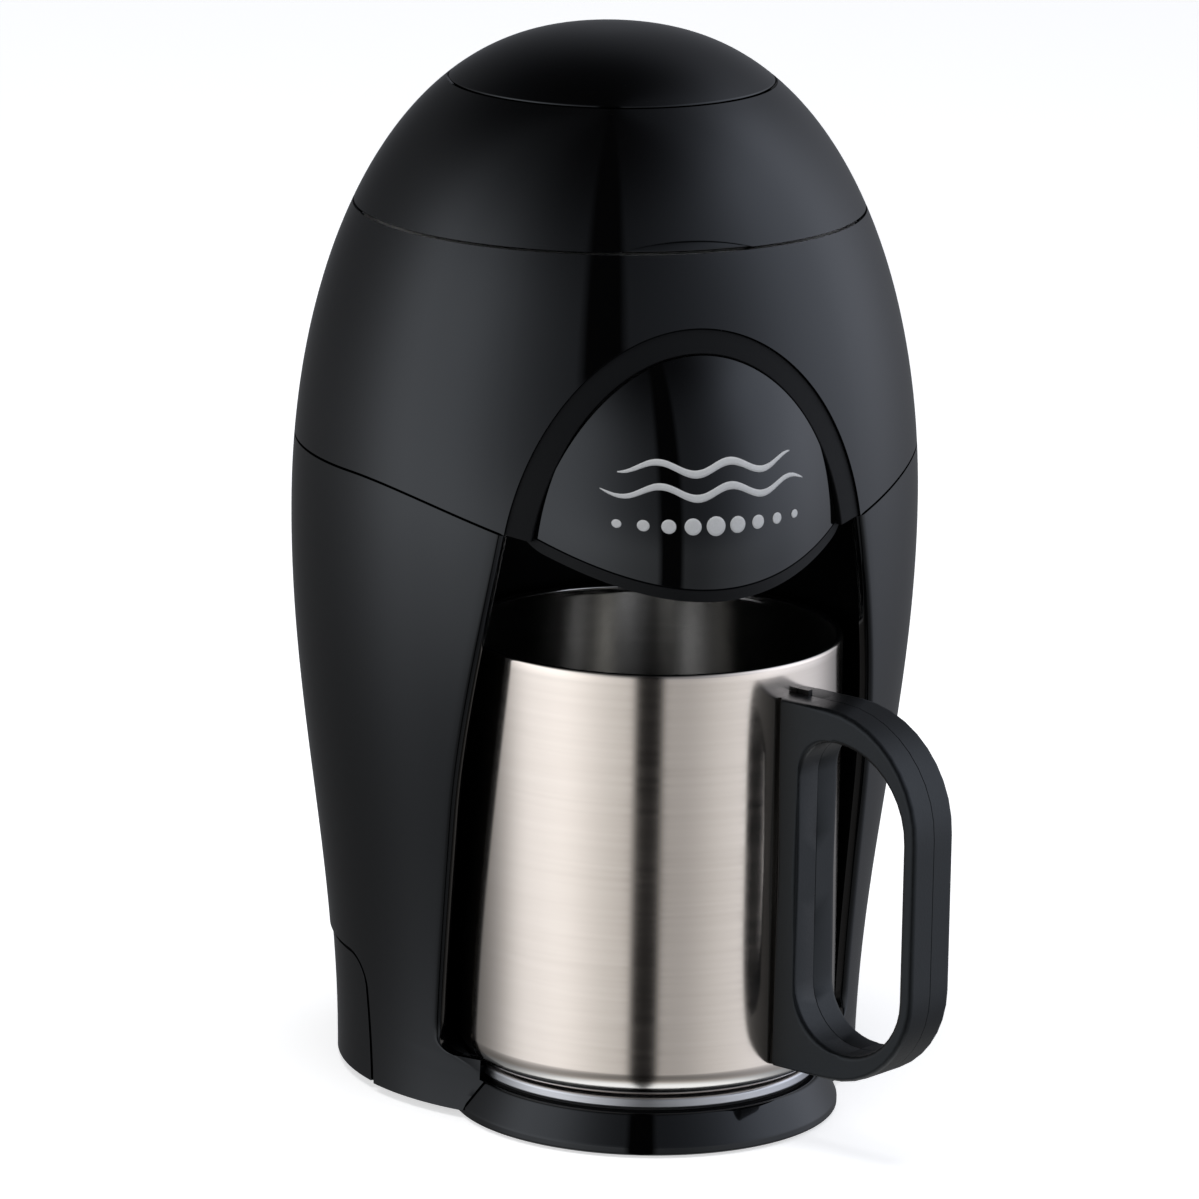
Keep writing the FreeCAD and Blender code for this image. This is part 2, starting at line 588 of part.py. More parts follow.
def water_tank():
    """Open water tank with its outlet."""
    z0, z1 = TANK_Z
    x, y = TANK_OUT
    shape = tank_block(0, z0, z1).cut(tank_block(TANK_WALL, z0 + TANK_WALL, z1 + 10))
    shape = fuse([shape, rod(TUBE_R, 29.0, z0 + 0.5, x, y)])
    return shape.cut(rod(3.55, 20, 60, x, y))


def valve_parts():
    """Check valve in the tank's outlet: a cage and a ball that lifts to its upper seat."""
    x, y = TANK_OUT
    body = rod(3.5, 29.0, 39.0, x, y).cut(rod(2.8, 30.2, 37.6, x, y)).cut(rod(1.6, 20, 60, x, y))
    return {"valve_cage": body, "valve_ball": Part.makeSphere(2.4, V(x, y, 30.2 + 1.9))}


def u_path(x_end, z):
    """Two legs joined by a half turn, open to the right."""
    y0, y1 = HEATER_LEG_Y
    r = (y1 - y0) / 2
    a, b = V(x_end[0], y0, z), V(HEATER_BEND_X, y0, z)
    c, d = V(HEATER_BEND_X, y1, z), V(x_end[1], y1, z)
    mid = V(HEATER_BEND_X - r, y0 + r, z)
    return Part.Wire([line(a, b), Part.Arc(b, mid, c).toShape(), line(c, d)]), a


def u_bar(x_end, z, radius):
    path, start = u_path(x_end, z)
    section = Part.Wire(Part.makeCircle(radius, start, V(-1, 0, 0)))
    return path.makePipeShell([section], True, False)


def heater_parts():
    """Flow heater: water tube, heating rod with its end tabs, bracket, thermostat and fuse."""
    ends = (22.0, 13.5)
    tube = u_bar(ends, HEATER_Z, TUBE_R).cut(u_bar(ends, HEATER_Z, TUBE_BORE_R))
    rod_ends = (15.0, 6.5)
    heating = u_bar(rod_ends, ROD_Z, ROD_R)
    tabs = [box(x - 0.5, x + 6.0, y - 2.5, y + 2.5, ROD_Z - 0.4, ROD_Z + 0.4)
            for x, y in zip(rod_ends, HEATER_LEG_Y)]
    heating = fuse([heating] + tabs)
    top = HEATER_Z + TUBE_R + 0.05
    y0, y1 = HEATER_LEG_Y
    bracket = box(-11, 7, y0 - 5, y1 + 5, top, top + 1.5)
    middle = (y0 + y1) / 2
    saddle = [box(x, x + 3, middle - 2, middle + 2, COVER_Z[1] + 0.05, top + 0.5) for x in (-10.0, 3.0)]
    bracket = fuse([bracket] + saddle)
    z0 = top + 1.55
    thermostat = fuse([rod(7.8, z0, z0 + 4.5, -2, middle), rod(6.6, z0 + 4.4, z0 + 7.5, -2, middle)]
                      + [box(-2 + s * 3 - 2, -2 + s * 3 + 2, middle - 0.4, middle + 0.4, z0 + 7, z0 + 10)
                         for s in (-1, 1)])
    fuse_link = Part.makeCylinder(1.8, 13, V(-8.5, y0 - 1.5, z0 + 1.85), V(1, 0, 0))
    leads = Part.makeCylinder(0.5, 19, V(-11.5, y0 - 1.5, z0 + 1.85), V(1, 0, 0))
    return {"heater_tube": tube, "heating_rod": heating, "heater_bracket": bracket,
            "thermostat": thermostat, "thermal_fuse": fuse([fuse_link, leads])}


def water_way():
    """Inlet hose, outlet hose, riser pipe, outlet elbow and hose clamps."""
    y0, y1 = HEATER_LEG_Y
    tx, ty = TANK_OUT
    rx, ry = RISER_XY
    z = HEATER_Z
    inlet = [V(tx, ty, 36.5), V(tx, ty, z), V(7.5, y1, z)]
    outlet = [V(16.0, y0, z), V(34.0, y0, z), V(rx, ry, z), V(rx, ry, 37.0)]
    inlet_hose = hose(inlet, HOSE_BORE_R, HOSE_R, 7.5)
    outlet_hose = hose(outlet, HOSE_BORE_R, HOSE_R, 7.5)
    riser = ring(TUBE_BORE_R, TUBE_R, RISER_Z[0] + 3.0, RISER_Z[1], rx, ry)
    inward = V(-rx, FILTER_Y - ry, 0).normalize()
    end = V(rx, ry, 168.0) + inward * 10.5
    elbow = hose([V(rx, ry, 153.0), V(rx, ry, 168.0), end], HOSE_BORE_R, HOSE_R - 0.4, 6.2)
    clamps = [ring(HOSE_R + 0.05, HOSE_R + 0.9, 31.0, 35.5, tx, ty),
              ring(HOSE_R + 0.05, HOSE_R + 0.9, 31.0, 35.5, rx, ry)]
    for x, y in ((17.5, y0), (8.5, y1)):
        band = Part.makeCylinder(HOSE_R + 0.9, 4.0, V(x, y, z), V(1, 0, 0))
        clamps.append(band.cut(Part.makeCylinder(HOSE_R + 0.05, 6.0, V(x - 1, y, z), V(1, 0, 0))))
    return {"inlet_hose": inlet_hose, "outlet_hose": outlet_hose, "riser_pipe": riser,
            "outlet_elbow": elbow, "hose_clamps": fuse_loose(clamps)}


def wiring():
    """Terminal block and the wires from it to the switch and the heating rod."""
    block = box(-42.0, -33.0, 4.2, 20.0, 4.2, 12.2)
    slots = [box(-44, -30, 6.4 + 5 * k, 8.4 + 5 * k, 9.0, 13.0) for k in range(3)]
    block = block.cut(fuse_loose(slots))
    to_switch = [V(-32.2, 12.0, 5.8), V(-28.6, 14.0, 5.8), V(-27.6, 40.0, 5.8), V(-10.2, 43.6, 10.0)]
    to_heater = [V(-32.6, 7.4, 7.4), V(13.5, 7.4, 7.4), V(17.5, 14.0, 10.6)]
    return {"terminal_block": block, "switch_wire": pipe(to_switch, WIRE_R, 3.5),
            "heater_wire": pipe(to_heater, WIRE_R, 3.5)}


def filter_cone(offset):
    """Tapered block of the filter, drawn in by an offset."""
    low_r, top_r = FILTER_R
    height = BASKET_Z[1] + 0.5 - FILTER_FLOOR_Z
    return Part.makeCone(low_r - offset, top_r - offset, height, V(0, FILTER_Y, FILTER_FLOOR_Z))


def filter_parts():
    """Filter basket, filter frame, its mesh and grips."""
    z0, z1 = BASKET_Z
    r0, r1 = BASKET_R
    outer = Part.makeCone(r0, r1, z1 - z0, V(0, FILTER_Y, z0))
    inner = Part.makeCone(r0 - BASKET_WALL, r1 - BASKET_WALL, z1 - z0, V(0, FILTER_Y, z0 + 2.0))
    flange = ring(r1 - 1.0, BASKET_FLANGE_R, z1 - 1.6, z1, 0, FILTER_Y)
    spigot = rod(DRIP_R, 116.5, z0 + 0.5, 0, FILTER_Y)
    basket = fuse([outer, flange, spigot]).cut(inner).cut(rod(DRIP_R - 2.0, 100, 160, 0, FILTER_Y))
    f0 = FILTER_FLOOR_Z
    b0, b1 = FILTER_R
    rim = ring(b1 - 1.6, b1 + 4.2, z1 + 0.15, z1 + 1.6, 0, FILTER_Y)
    side = filter_cone(0.0).cut(filter_cone(FILTER_WALL))
    gap = 2 * math.pi / FILTER_RIBS
    windows = []
    for k in range(FILTER_RIBS):
        cut = box(10, 40, -7.2, 7.2, f0 + 2.0, z1 - 3.0)
        cut.rotate(V(0, 0, 0), UP, math.degrees(gap * (k + 0.5)))
        cut.translate(V(0, FILTER_Y, 0))
        windows.append(cut)
    floor_ring = ring(b0 - 3.2, b0, f0 - 0.01, f0 + 1.4, 0, FILTER_Y)
    hub = rod(3.0, f0 - 0.01, f0 + 1.4, 0, FILTER_Y)
    spokes = []
    for k in range(FILTER_RIBS):
        arm = box(2, b0 - 1, -0.8, 0.8, f0 - 0.01, f0 + 1.4)
        arm.rotate(V(0, 0, 0), UP, math.degrees(gap * k))
        arm.translate(V(0, FILTER_Y, 0))
        spokes.append(arm)
    grips = [box(min(s * 26.8, s * 31.4), max(s * 26.8, s * 31.4), FILTER_Y - 5, FILTER_Y + 5,
                 z1 + 1.2, z1 + 4.5) for s in (-1, 1)]
    frame = fuse([rim, side.cut(fuse_loose(windows)), floor_ring, hub] + spokes + grips)
    mesh = filter_cone(FILTER_WALL + 0.08).common(slab(f0 + 1.45, z1 - 2.0))
    mesh = mesh.cut(filter_cone(FILTER_WALL + 0.48).common(slab(f0 + 1.85, z1)))
    return {"filter_basket": basket, "filter_frame": frame, "filter_mesh": mesh}


def handle_plane(shape):
    """Turns a shape from the handle's own plane to its place on the mug."""
    shape.rotate(V(0, 0, 0), UP, HANDLE_TURN)
    shape.translate(V(0, MUG_Y, 0))
    return shape


def rounded_rect(x0, x1, z0, z1, radii):
    """Face in the XZ plane with its own radius at each corner, anticlockwise from the lower left."""
    k = 1 - math.sqrt(0.5)
    spots, edges = [], []
    corners = ((x0, z0, 1, 1), (x1, z0, -1, 1), (x1, z1, -1, -1), (x0, z1, 1, -1))
    for (x, z, dx, dz), r in zip(corners, radii):
        flat, steep = V(x + dx * r, 0, z), V(x, 0, z + dz * r)
        bend = V(x + dx * r * k, 0, z + dz * r * k)
        first, last = (steep, flat) if dx == dz else (flat, steep)
        spots.append((first, last))
        if r > 0:
            edges.append(Part.Arc(first, bend, last).toShape())
    for (_, here), (there, _) in zip(spots, spots[1:] + spots[:1]):
        edges.append(line(here, there))
    return Part.Face(Part.Wire(Part.__sortEdges__(edges)))


def strap_block(gap):
    """Steel strap between the handle halves: an upright strip with two tongues, grown by a gap."""
    thick = STRAP_T + 2 * gap
    y0 = -thick / 2
    strip = box(30.0, STRAP_REACH + gap, y0, -y0, HANDLE_Z0 + 1.1 - gap,
                HANDLE_Z1 + STRAP_RISE + 2 * gap)
    tongues = []
    for z in STRAP_SCREW_Z:
        tongues.append(box(36.0, STRAP_SCREW_X + 3.0 + gap, y0, -y0, z - 2.0 - gap, z + 2.0 + gap))
    return fuse([strip] + tongues)


def mug_parts():
    """Steel cup with a rolled rim, two handle halves, the strap between them and two screws."""
    z0, z1, r = MUG_FOOT_Z, MUG_RIM_Z, MUG_R
    body = rod(r, z0, z1, 0, MUG_Y)
    body = body.makeFillet(MUG_FOOT_R, [e for e in body.Edges if e.BoundBox.ZMax < z0 + 0.01])
    hollow = rod(r - MUG_WALL, z0 + 1.6, z1 + 5, 0, MUG_Y)
    hollow = hollow.makeFillet(MUG_FOOT_R, [e for e in hollow.Edges if e.BoundBox.ZMax < z0 + 1.7])
    dish = rod(r - 7.0, z0 - 1, z0 + 0.5, 0, MUG_Y)
    bead = Part.makeTorus(r - MUG_BEAD_R, MUG_BEAD_R, V(0, MUG_Y, z1 - MUG_BEAD_R))
    cup = body.common(slab(0, z1 - MUG_BEAD_R)).cut(hollow).cut(dish)
    cup = fuse([cup, bead])
    reach, width = HANDLE_REACH, HANDLE_W
    outer = rounded_rect(30.0, reach, HANDLE_Z0, HANDLE_Z1, HANDLE_R)
    hole = rounded_rect(*GRIP_HOLE, GRIP_HOLE_R)
    plate = outer.cut(hole)
    parts = {"mug_cup": cup}
    mug_clear = rod(r + 0.05, 0, 150)
    strap = strap_block(0.0).cut(mug_clear)
    pocket = strap_block(0.15)
    along = V(0, 1, 0)
    bores, screws = [], []
    for z in STRAP_SCREW_Z:
        hole = Part.makeCylinder(SCREW_R + 0.05, width, V(STRAP_SCREW_X, 1.2 - width / 2, z), along)
        sink = Part.makeCylinder(SCREW_HEAD_R + 0.1, 5, V(STRAP_SCREW_X, width / 2 - 2.0, z), along)
        bores.append(hole.fuse(sink))
        shank = Part.makeCylinder(SCREW_R, width - 3.5, V(STRAP_SCREW_X, 1.6 - width / 2, z), along)
        head = Part.makeCylinder(SCREW_HEAD_R, 1.4, V(STRAP_SCREW_X, width / 2 - 1.95, z), along)
        screws.append(shank.fuse(head).removeSplitter())
    for name, side in (("handle_half_left", -1), ("handle_half_right", 1)):
        half = plate.extrude(V(0, side * (width / 2 - 0.05), 0))
        half.translate(V(0, side * 0.05, 0))
        face_y = side * width / 2
        rim = []
        for edge in half.Edges:
            span = edge.BoundBox
            if max(abs(span.YMin - face_y), abs(span.YMax - face_y)) < 0.01 and span.XMax > 31:
                rim.append(edge)
        half = half.makeFillet(1.0, rim)
        half = half.cut(mug_clear).cut(pocket).cut(fuse_loose(bores))
        parts[name] = handle_plane(half)
    parts["handle_strap"] = handle_plane(strap.cut(fuse_loose(bores)))
    parts["handle_screws"] = handle_plane(fuse_loose(screws))
    return parts


def all_parts():
    """Every sub-part by its node name, in the body's own frame."""
    parts = {
        "lower_housing": lower_housing(),
        "upper_housing": upper_housing(),
        "brew_head": brew_head(),
        "nose_panel": nose_panel(),
        "rear_skirt": rear_skirt(),
        "cord_gland": cord_gland(),
        "water_tank": water_tank(),
        "hinge_pin": hinge_pin(),
    }
    for group in (lid_parts(), base_parts(), switch_parts(), valve_parts(), heater_parts(), water_way(),
                  wiring(), filter_parts(), mug_parts()):
        parts.update(group)
    return parts


def main():
    """Centres the machine on its origin, writes one file per node and prints the sizes."""
    parts = all_parts()
    whole = Part.makeCompound(list(parts.values())).optimalBoundingBox(False, False)
    move = V(0, -(whole.YMin + whole.YMax) / 2, 0)
    os.makedirs("parts", exist_ok=True)
    for name, shape in parts.items():
        shape.translate(move)
        shape.exportStep("parts/" + name + ".step")
        print(name, "solids", len(shape.Solids), "valid", shape.isValid(), "mm3", round(shape.Volume, 1))
    print("moved along Y by", round(move.y, 4))
    print("size", [round(s, 2) for s in (whole.XLength, whole.YLength, whole.ZLength)])


main()
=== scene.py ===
"""Looks of a one-cup drip coffee maker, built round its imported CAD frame.

The drawing is in millimetres about the egg-shaped body's upright axis: X to the right, Y to the
back and Z up from the table. A turn is an angle round that axis, zero at the front and growing to
the right. Bench.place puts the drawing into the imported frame, in metres.
"""

import json
import logging
import math
from dataclasses import dataclass, field
from enum import Enum
from typing import Any, Callable

import bmesh
import bpy
import numpy as np
from mathutils import Matrix, Vector

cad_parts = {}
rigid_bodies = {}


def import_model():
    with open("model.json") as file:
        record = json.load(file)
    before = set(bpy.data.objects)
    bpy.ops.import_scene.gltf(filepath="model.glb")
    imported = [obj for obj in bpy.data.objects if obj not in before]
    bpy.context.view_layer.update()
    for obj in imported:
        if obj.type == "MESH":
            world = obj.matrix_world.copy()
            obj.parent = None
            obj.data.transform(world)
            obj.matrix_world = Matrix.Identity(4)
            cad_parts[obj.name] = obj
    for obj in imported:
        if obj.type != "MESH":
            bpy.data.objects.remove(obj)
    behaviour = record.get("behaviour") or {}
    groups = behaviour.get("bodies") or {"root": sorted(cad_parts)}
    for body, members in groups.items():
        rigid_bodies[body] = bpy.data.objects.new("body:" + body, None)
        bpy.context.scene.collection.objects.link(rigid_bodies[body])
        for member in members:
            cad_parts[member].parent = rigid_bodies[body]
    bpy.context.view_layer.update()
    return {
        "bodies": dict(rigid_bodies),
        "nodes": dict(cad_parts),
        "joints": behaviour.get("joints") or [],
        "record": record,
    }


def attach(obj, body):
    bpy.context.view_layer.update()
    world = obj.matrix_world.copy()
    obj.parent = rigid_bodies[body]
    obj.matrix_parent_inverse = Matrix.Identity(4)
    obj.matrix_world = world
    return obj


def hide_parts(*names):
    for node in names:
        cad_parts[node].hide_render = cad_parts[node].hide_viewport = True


log = logging.getLogger("coffee_maker")

Array = np.ndarray
Colour = tuple[float, float, float]
Socket = bpy.types.NodeSocket
MM = 0.001
TRIM_FINISH = "silver_print"

# Distance of the extra points beside an arc, which keep the shading of flat sides flat
GUARD = 0.12

# Y of the mug's axis, Y and Z of the lid's hinge, and the radius of the hinge's eyes
MUG_Y = -32.8
HINGE = (52.2, 177.2)
HINGE_R = 3.2


# Surfaces


@dataclass
class Surface:
    """Points in millimetres with the faces between them."""

    points: Array
    faces: list[tuple[int, ...]]

    def joined(self, other: "Surface") -> "Surface":
        """This surface and another as one.

        Args:
            other: the surface to add.

        Returns:
            A surface with the points and faces of both.
        """
        step = len(self.points)
        moved = [tuple(i + step for i in face) for face in other.faces]
        return Surface(np.vstack([self.points, other.points]), self.faces + moved)

    def turned(self, degrees: float, centre: tuple[float, float]) -> "Surface":
        """This surface turned about an upright line.

        Args:
            degrees: right-hand turn about Z.
            centre: X and Y of the line.

        Returns:
            The turned surface.
        """
        a = math.radians(degrees)
        spin = np.array([[math.cos(a), -math.sin(a), 0], [math.sin(a), math.cos(a), 0], [0, 0, 1]])
        middle = np.array([centre[0], centre[1], 0.0])
        return Surface((self.points - middle) @ spin.T + middle, self.faces)


def grid_surface(points: Array, wrap_rows: bool = False, wrap_cols: bool = False,
                 end_caps: bool = False) -> Surface:
    """Quads over a grid of points: face (i, j) joins rows i, i + 1 and columns j, j + 1.

    Args:
        points: array of rows by columns by three.
        wrap_rows: joins the last row to the first.
        wrap_cols: joins the last column to the first.
        end_caps: closes the first and last column with one face each.

    Returns:
        The surface, facing along column step cross row step.
    """
    rows, cols = points.shape[:2]
    i = np.arange(rows if wrap_rows else rows - 1)[:, None]
    j = np.arange(cols if wrap_cols else cols - 1)[None, :]
    up, side = (i + 1) % rows, (j + 1) % cols
    quads = np.stack(np.broadcast_arrays(i * cols + j, i * cols + side, up * cols + side, up * cols + j), -1)
    faces = [tuple(q) for q in quads.reshape(-1, 4).tolist()]
    if end_caps:
        first = np.arange(rows) * cols
        faces.append(tuple(first.tolist()))
        faces.append(tuple((first + cols - 1)[::-1].tolist()))
    return Surface(points.reshape(-1, 3), faces)


def thick_sheet(outer: Array, inner: Array) -> Surface:
    """Closed wall between two grids that match point by point, with strips along every open edge.

    Args:
        outer: rows by columns by three.
        inner: the same shape.

    Returns:
        The closed surface.
    """
    surface = grid_surface(outer).joined(grid_surface(inner))
    for edge in (np.s_[0], np.s_[-1], np.s_[:, 0], np.s_[:, -1]):
        surface = surface.joined(grid_surface(np.stack([outer[edge], inner[edge]])))
    return surface


def rounded_corners(corners: list[tuple[float, float, float]], steps: int = 5) -> Array:
    """Closed outline whose corners are arcs: each arc touches both sides at r / tan(half the angle).

    A further point close to each end of an arc keeps the shading of the straight sides flat.

    Args:
        corners: (a, b, r) for each corner in order, in the outline's own plane.
        steps: spans in each arc.

    Returns:
        Points by two, with a corner of radius zero as a single point.
    """
    spots = np.array([c[:2] for c in corners])
    outline = []
    for k, (a, b, r) in enumerate(corners):
        here = np.array([a, b])
        to_last = spots[k - 1] - here
        to_next = spots[(k + 1) % len(spots)] - here
        if r <= 0:
            outline.append(here[None, :])
            continue
        to_last = to_last / np.linalg.norm(to_last)
        to_next = to_next / np.linalg.norm(to_next)
        half = math.acos(float(np.clip(to_last @ to_next, -1, 1))) / 2
        middle = here + (to_last + to_next) / np.linalg.norm(to_last + to_next) * r / math.sin(half)
        start = here + to_last * r / math.tan(half) - middle
        end = here + to_next * r / math.tan(half) - middle
        t = np.linspace(0, 1, steps + 1)[:, None]
        sweep = math.pi - 2 * half
        arc = (np.sin((1 - t) * sweep) * start + np.sin(t * sweep) * end) / math.sin(sweep)
        outline.append(middle + np.vstack([start + to_last * GUARD, arc, end + to_next * GUARD]))
    return np.vstack(outline)


def spun(profile: Array, centre_y: float, turns: Array, closed: bool = True) -> Surface:
    """Closed profile carried round an upright line: x = r sin t, y = centre - r cos t, z = z.

    Args:
        profile: points by two, as radius and height.
        centre_y: Y of the line.
        turns: angles in radians, zero at the front.
        closed: the turns make a whole circle, otherwise both ends get a cap.

    Returns:
        The closed surface.
    """
    r, z = profile[:, :1], profile[:, 1:]
    t = turns[None, :]
    grid = np.stack([r * np.sin(t), centre_y - r * np.cos(t), z + 0 * t], -1)
    return grid_surface(grid, wrap_rows=True, wrap_cols=closed, end_caps=not closed)


def whole_turn(count: int) -> Array:
    """Evenly spaced turns round a whole circle."""
    return np.linspace(0, 2 * np.pi, count, endpoint=False)


def rounded_frame(x: tuple[float, float], z: tuple[float, float], radii: tuple[float, ...],
                  spans: int = 10) -> Array:
    """Rectangle with its own radius at each corner, always with the same count of points.

    Args:
        x: left and right.
        z: bottom and top.
        radii: four radii, from the lower left corner and then anticlockwise.
        spans: spans in each arc and each straight side.

    Returns:
        Points by two, from the lower left corner and then anticlockwise.
    """
    a = np.linspace(0, np.pi / 2, spans + 1)
    corners = ((x[0], z[0], 1, 1), (x[1], z[0], -1, 1), (x[1], z[1], -1, -1), (x[0], z[1], 1, -1))
    arcs = []
    for k, ((cx, cz, dx, dz), r) in enumerate(zip(corners, radii)):
        t = a + np.pi * (1 + k / 2)
        arcs.append(np.stack([cx + dx * r + r * np.cos(t), cz + dz * r + r * np.sin(t)], -1))
    outline = []
    for here, there in zip(arcs, arcs[1:] + arcs[:1]):
        t = np.linspace(0, 1, spans + 1)[1:-1, None]
        outline += [here, here[-1] * (1 - t) + there[0] * t]
    return np.vstack(outline)


def loop_bar(outer: Array, inner: Array, depth: tuple[float, float], edge: float, lip: float) -> Array:
    """Bar between two matching outlines: a cross-section from the back edge, round the front and back.

    The share w runs from the outer outline (0) to the inner one (1). The front edges are quarter
    circles of radius edge, and the back edges chamfers of size lip. A further row on each side of a
    quarter circle keeps the shading of the flat faces flat.

    Args:
        outer: points by two.
        inner: points by two, matching outer one to one.
        depth: back and front.
        edge: radius of the front edges.
        lip: chamfer of the back edges.

    Returns:
        Rows across the section by columns along the loop by three, as (a, depth, b).
    """
    span = np.linalg.norm(inner - outer, axis=1)
    back, front = depth
    bend = np.linspace(0, np.pi / 2, 5)
    reach = np.concatenate([[lip, 0.0, 0.0], edge - edge * np.cos(bend), [edge + GUARD]])
    level = np.concatenate([[back, back + lip, front - edge - GUARD], front - edge + edge * np.sin(bend),
                            [front]])
    near = reach[:, None] / span[None, :]
    share = np.concatenate([near, 1 - near[::-1]])
    levels = np.concatenate([level, level[::-1]])
    flat = outer[None, :, :] * (1 - share[..., None]) + inner[None, :, :] * share[..., None]
    return np.stack([flat[..., 0], np.broadcast_to(levels[:, None], share.shape), flat[..., 1]], -1)


# Node graphs


class Graph:
    """A node tree with short calls to add and link nodes."""

    def __init__(self, tree: bpy.types.NodeTree) -> None:
        """Empties a tree and keeps it."""
        tree.nodes.clear()
        self.tree = tree

    def add(self, kind: str, inputs: dict[str, Any] | None = None, **settings: Any) -> bpy.types.Node:
        """Adds a node.

        Args:
            kind: the node's type name.
            inputs: values or sockets by input name.
            settings: the node's own properties.

        Returns:
            The new node.
        """
        node = self.tree.nodes.new(kind)
        for name, value in settings.items():
            setattr(node, name, value)
        for name, value in (inputs or {}).items():
            self.feed(node, name, value)
        return node

    def feed(self, node: bpy.types.Node, name: str | int, value: Any) -> None:
        """Sets an input, or links a socket to it.

        Args:
            node: the node to feed.
            name: its input, by name or number.
            value: a plain value or another node's socket.
        """
        if isinstance(value, Socket):
            self.tree.links.new(value, node.inputs[name])
        else:
            node.inputs[name].default_value = value

    def maths(self, operation: str, a: Any, b: Any = 0.0) -> Socket:
        """A Math node's value.

        Args:
            operation: the node's operation.
            a: first value or socket.
            b: second value or socket.

        Returns:
            The result's socket.
        """
        node = self.add("ShaderNodeMath", operation=operation)
        self.feed(node, 0, a)
        self.feed(node, 1, b)
        return node.outputs[0]

    def spread(self, value: Any, low: float, high: float, to_low: float, to_high: float) -> Socket:
        """A Map Range node's value, held inside its ends.

        Args:
            value: value or socket to map.
            low: start of its range.
            high: end of its range.
            to_low: result at the start.
            to_high: result at the end.

        Returns:
            The result's socket.
        """
        node = self.add("ShaderNodeMapRange", clamp=True)
        for k, item in enumerate((value, low, high, to_low, to_high)):
            self.feed(node, k, item)
        return node.outputs[0]

    def blend(self, share: Any, a: Any, b: Any) -> Socket:
        """A colour between two.

        Args:
            share: zero for the first colour and one for the second.
            a: first colour or socket.
            b: second colour or socket.

        Returns:
            The colour's socket.
        """
        node = self.add("ShaderNodeMix", data_type="RGBA")
        self.feed(node, 0, share)
        self.feed(node, 6, a)
        self.feed(node, 7, b)
        return node.outputs[2]


def shader_group(name: str, inputs: dict[str, str], outputs: list[str],
                 fill: Callable[[Graph, bpy.types.Node], dict[str, Any]]) -> bpy.types.NodeTree:
    """A shared effect as a node group, built once.

    Args:
        name: the group's name.
        inputs: socket type by input name.
        outputs: names of the value outputs.
        fill: builds the nodes and returns a socket for each output.

    Returns:
        The group's node tree.
    """
    found = bpy.data.node_groups.get(name)
    if found:
        return found
    tree = bpy.data.node_groups.new(name, "ShaderNodeTree")
    graph = Graph(tree)
    for socket, kind in inputs.items():
        tree.interface.new_socket(socket, in_out="INPUT", socket_type=kind)
    for socket in outputs:
        tree.interface.new_socket(socket, in_out="OUTPUT", socket_type="NodeSocketFloat")
    entry = graph.add("NodeGroupInput")
    results = fill(graph, entry)
    graph.add("NodeGroupOutput", results)
    return tree


def handling_marks() -> bpy.types.NodeTree:
    """Broad wipe marks: a soft noise of large scale."""

    def fill(graph: Graph, entry: bpy.types.Node) -> dict[str, Any]:
        """Nodes of the marks.

        Args:
            graph: the group's graph.
            entry: the group's input node.

        Returns:
            A socket for each output.
        """
        broad = graph.add("ShaderNodeTexNoise", {"Vector": entry.outputs["Vector"], "Scale": 34.0,
                                                 "Detail": 4.0, "Roughness": 0.55, "Distortion": 0.6})
        return {"Wipe": graph.spread(broad.outputs[0], 0.35, 0.7, 0.0, 1.0)}

    return shader_group("handling_marks", {"Vector": "NodeSocketVector"}, ["Wipe"], fill)


def mould_grain() -> bpy.types.NodeTree:
    """Etched mould grain: cells and noise of one scale, as a height and a mask."""

    def fill(graph: Graph, entry: bpy.types.Node) -> dict[str, Any]:
        """Nodes of the grain.

        Args:
            graph: the group's graph.
            entry: the group's input node.

        Returns:
            A socket for each output.
        """
        place, scale = entry.outputs["Vector"], entry.outputs["Scale"]
        cells = graph.add("ShaderNodeTexVoronoi", {"Vector": place, "Scale": scale})
        noise = graph.add("ShaderNodeTexNoise", {"Vector": place, "Scale": scale, "Detail": 3.0,
                                                 "Roughness": 0.6})
        height = graph.maths("ADD", graph.maths("MULTIPLY", cells.outputs[0], 0.5), noise.outputs[0])
        return {"Height": height, "Mask": graph.spread(noise.outputs[0], 0.4, 0.62, 0.0, 1.0)}

    return shader_group("mould_grain", {"Vector": "NodeSocketVector", "Scale": "NodeSocketFloat"},
                        ["Height", "Mask"], fill)


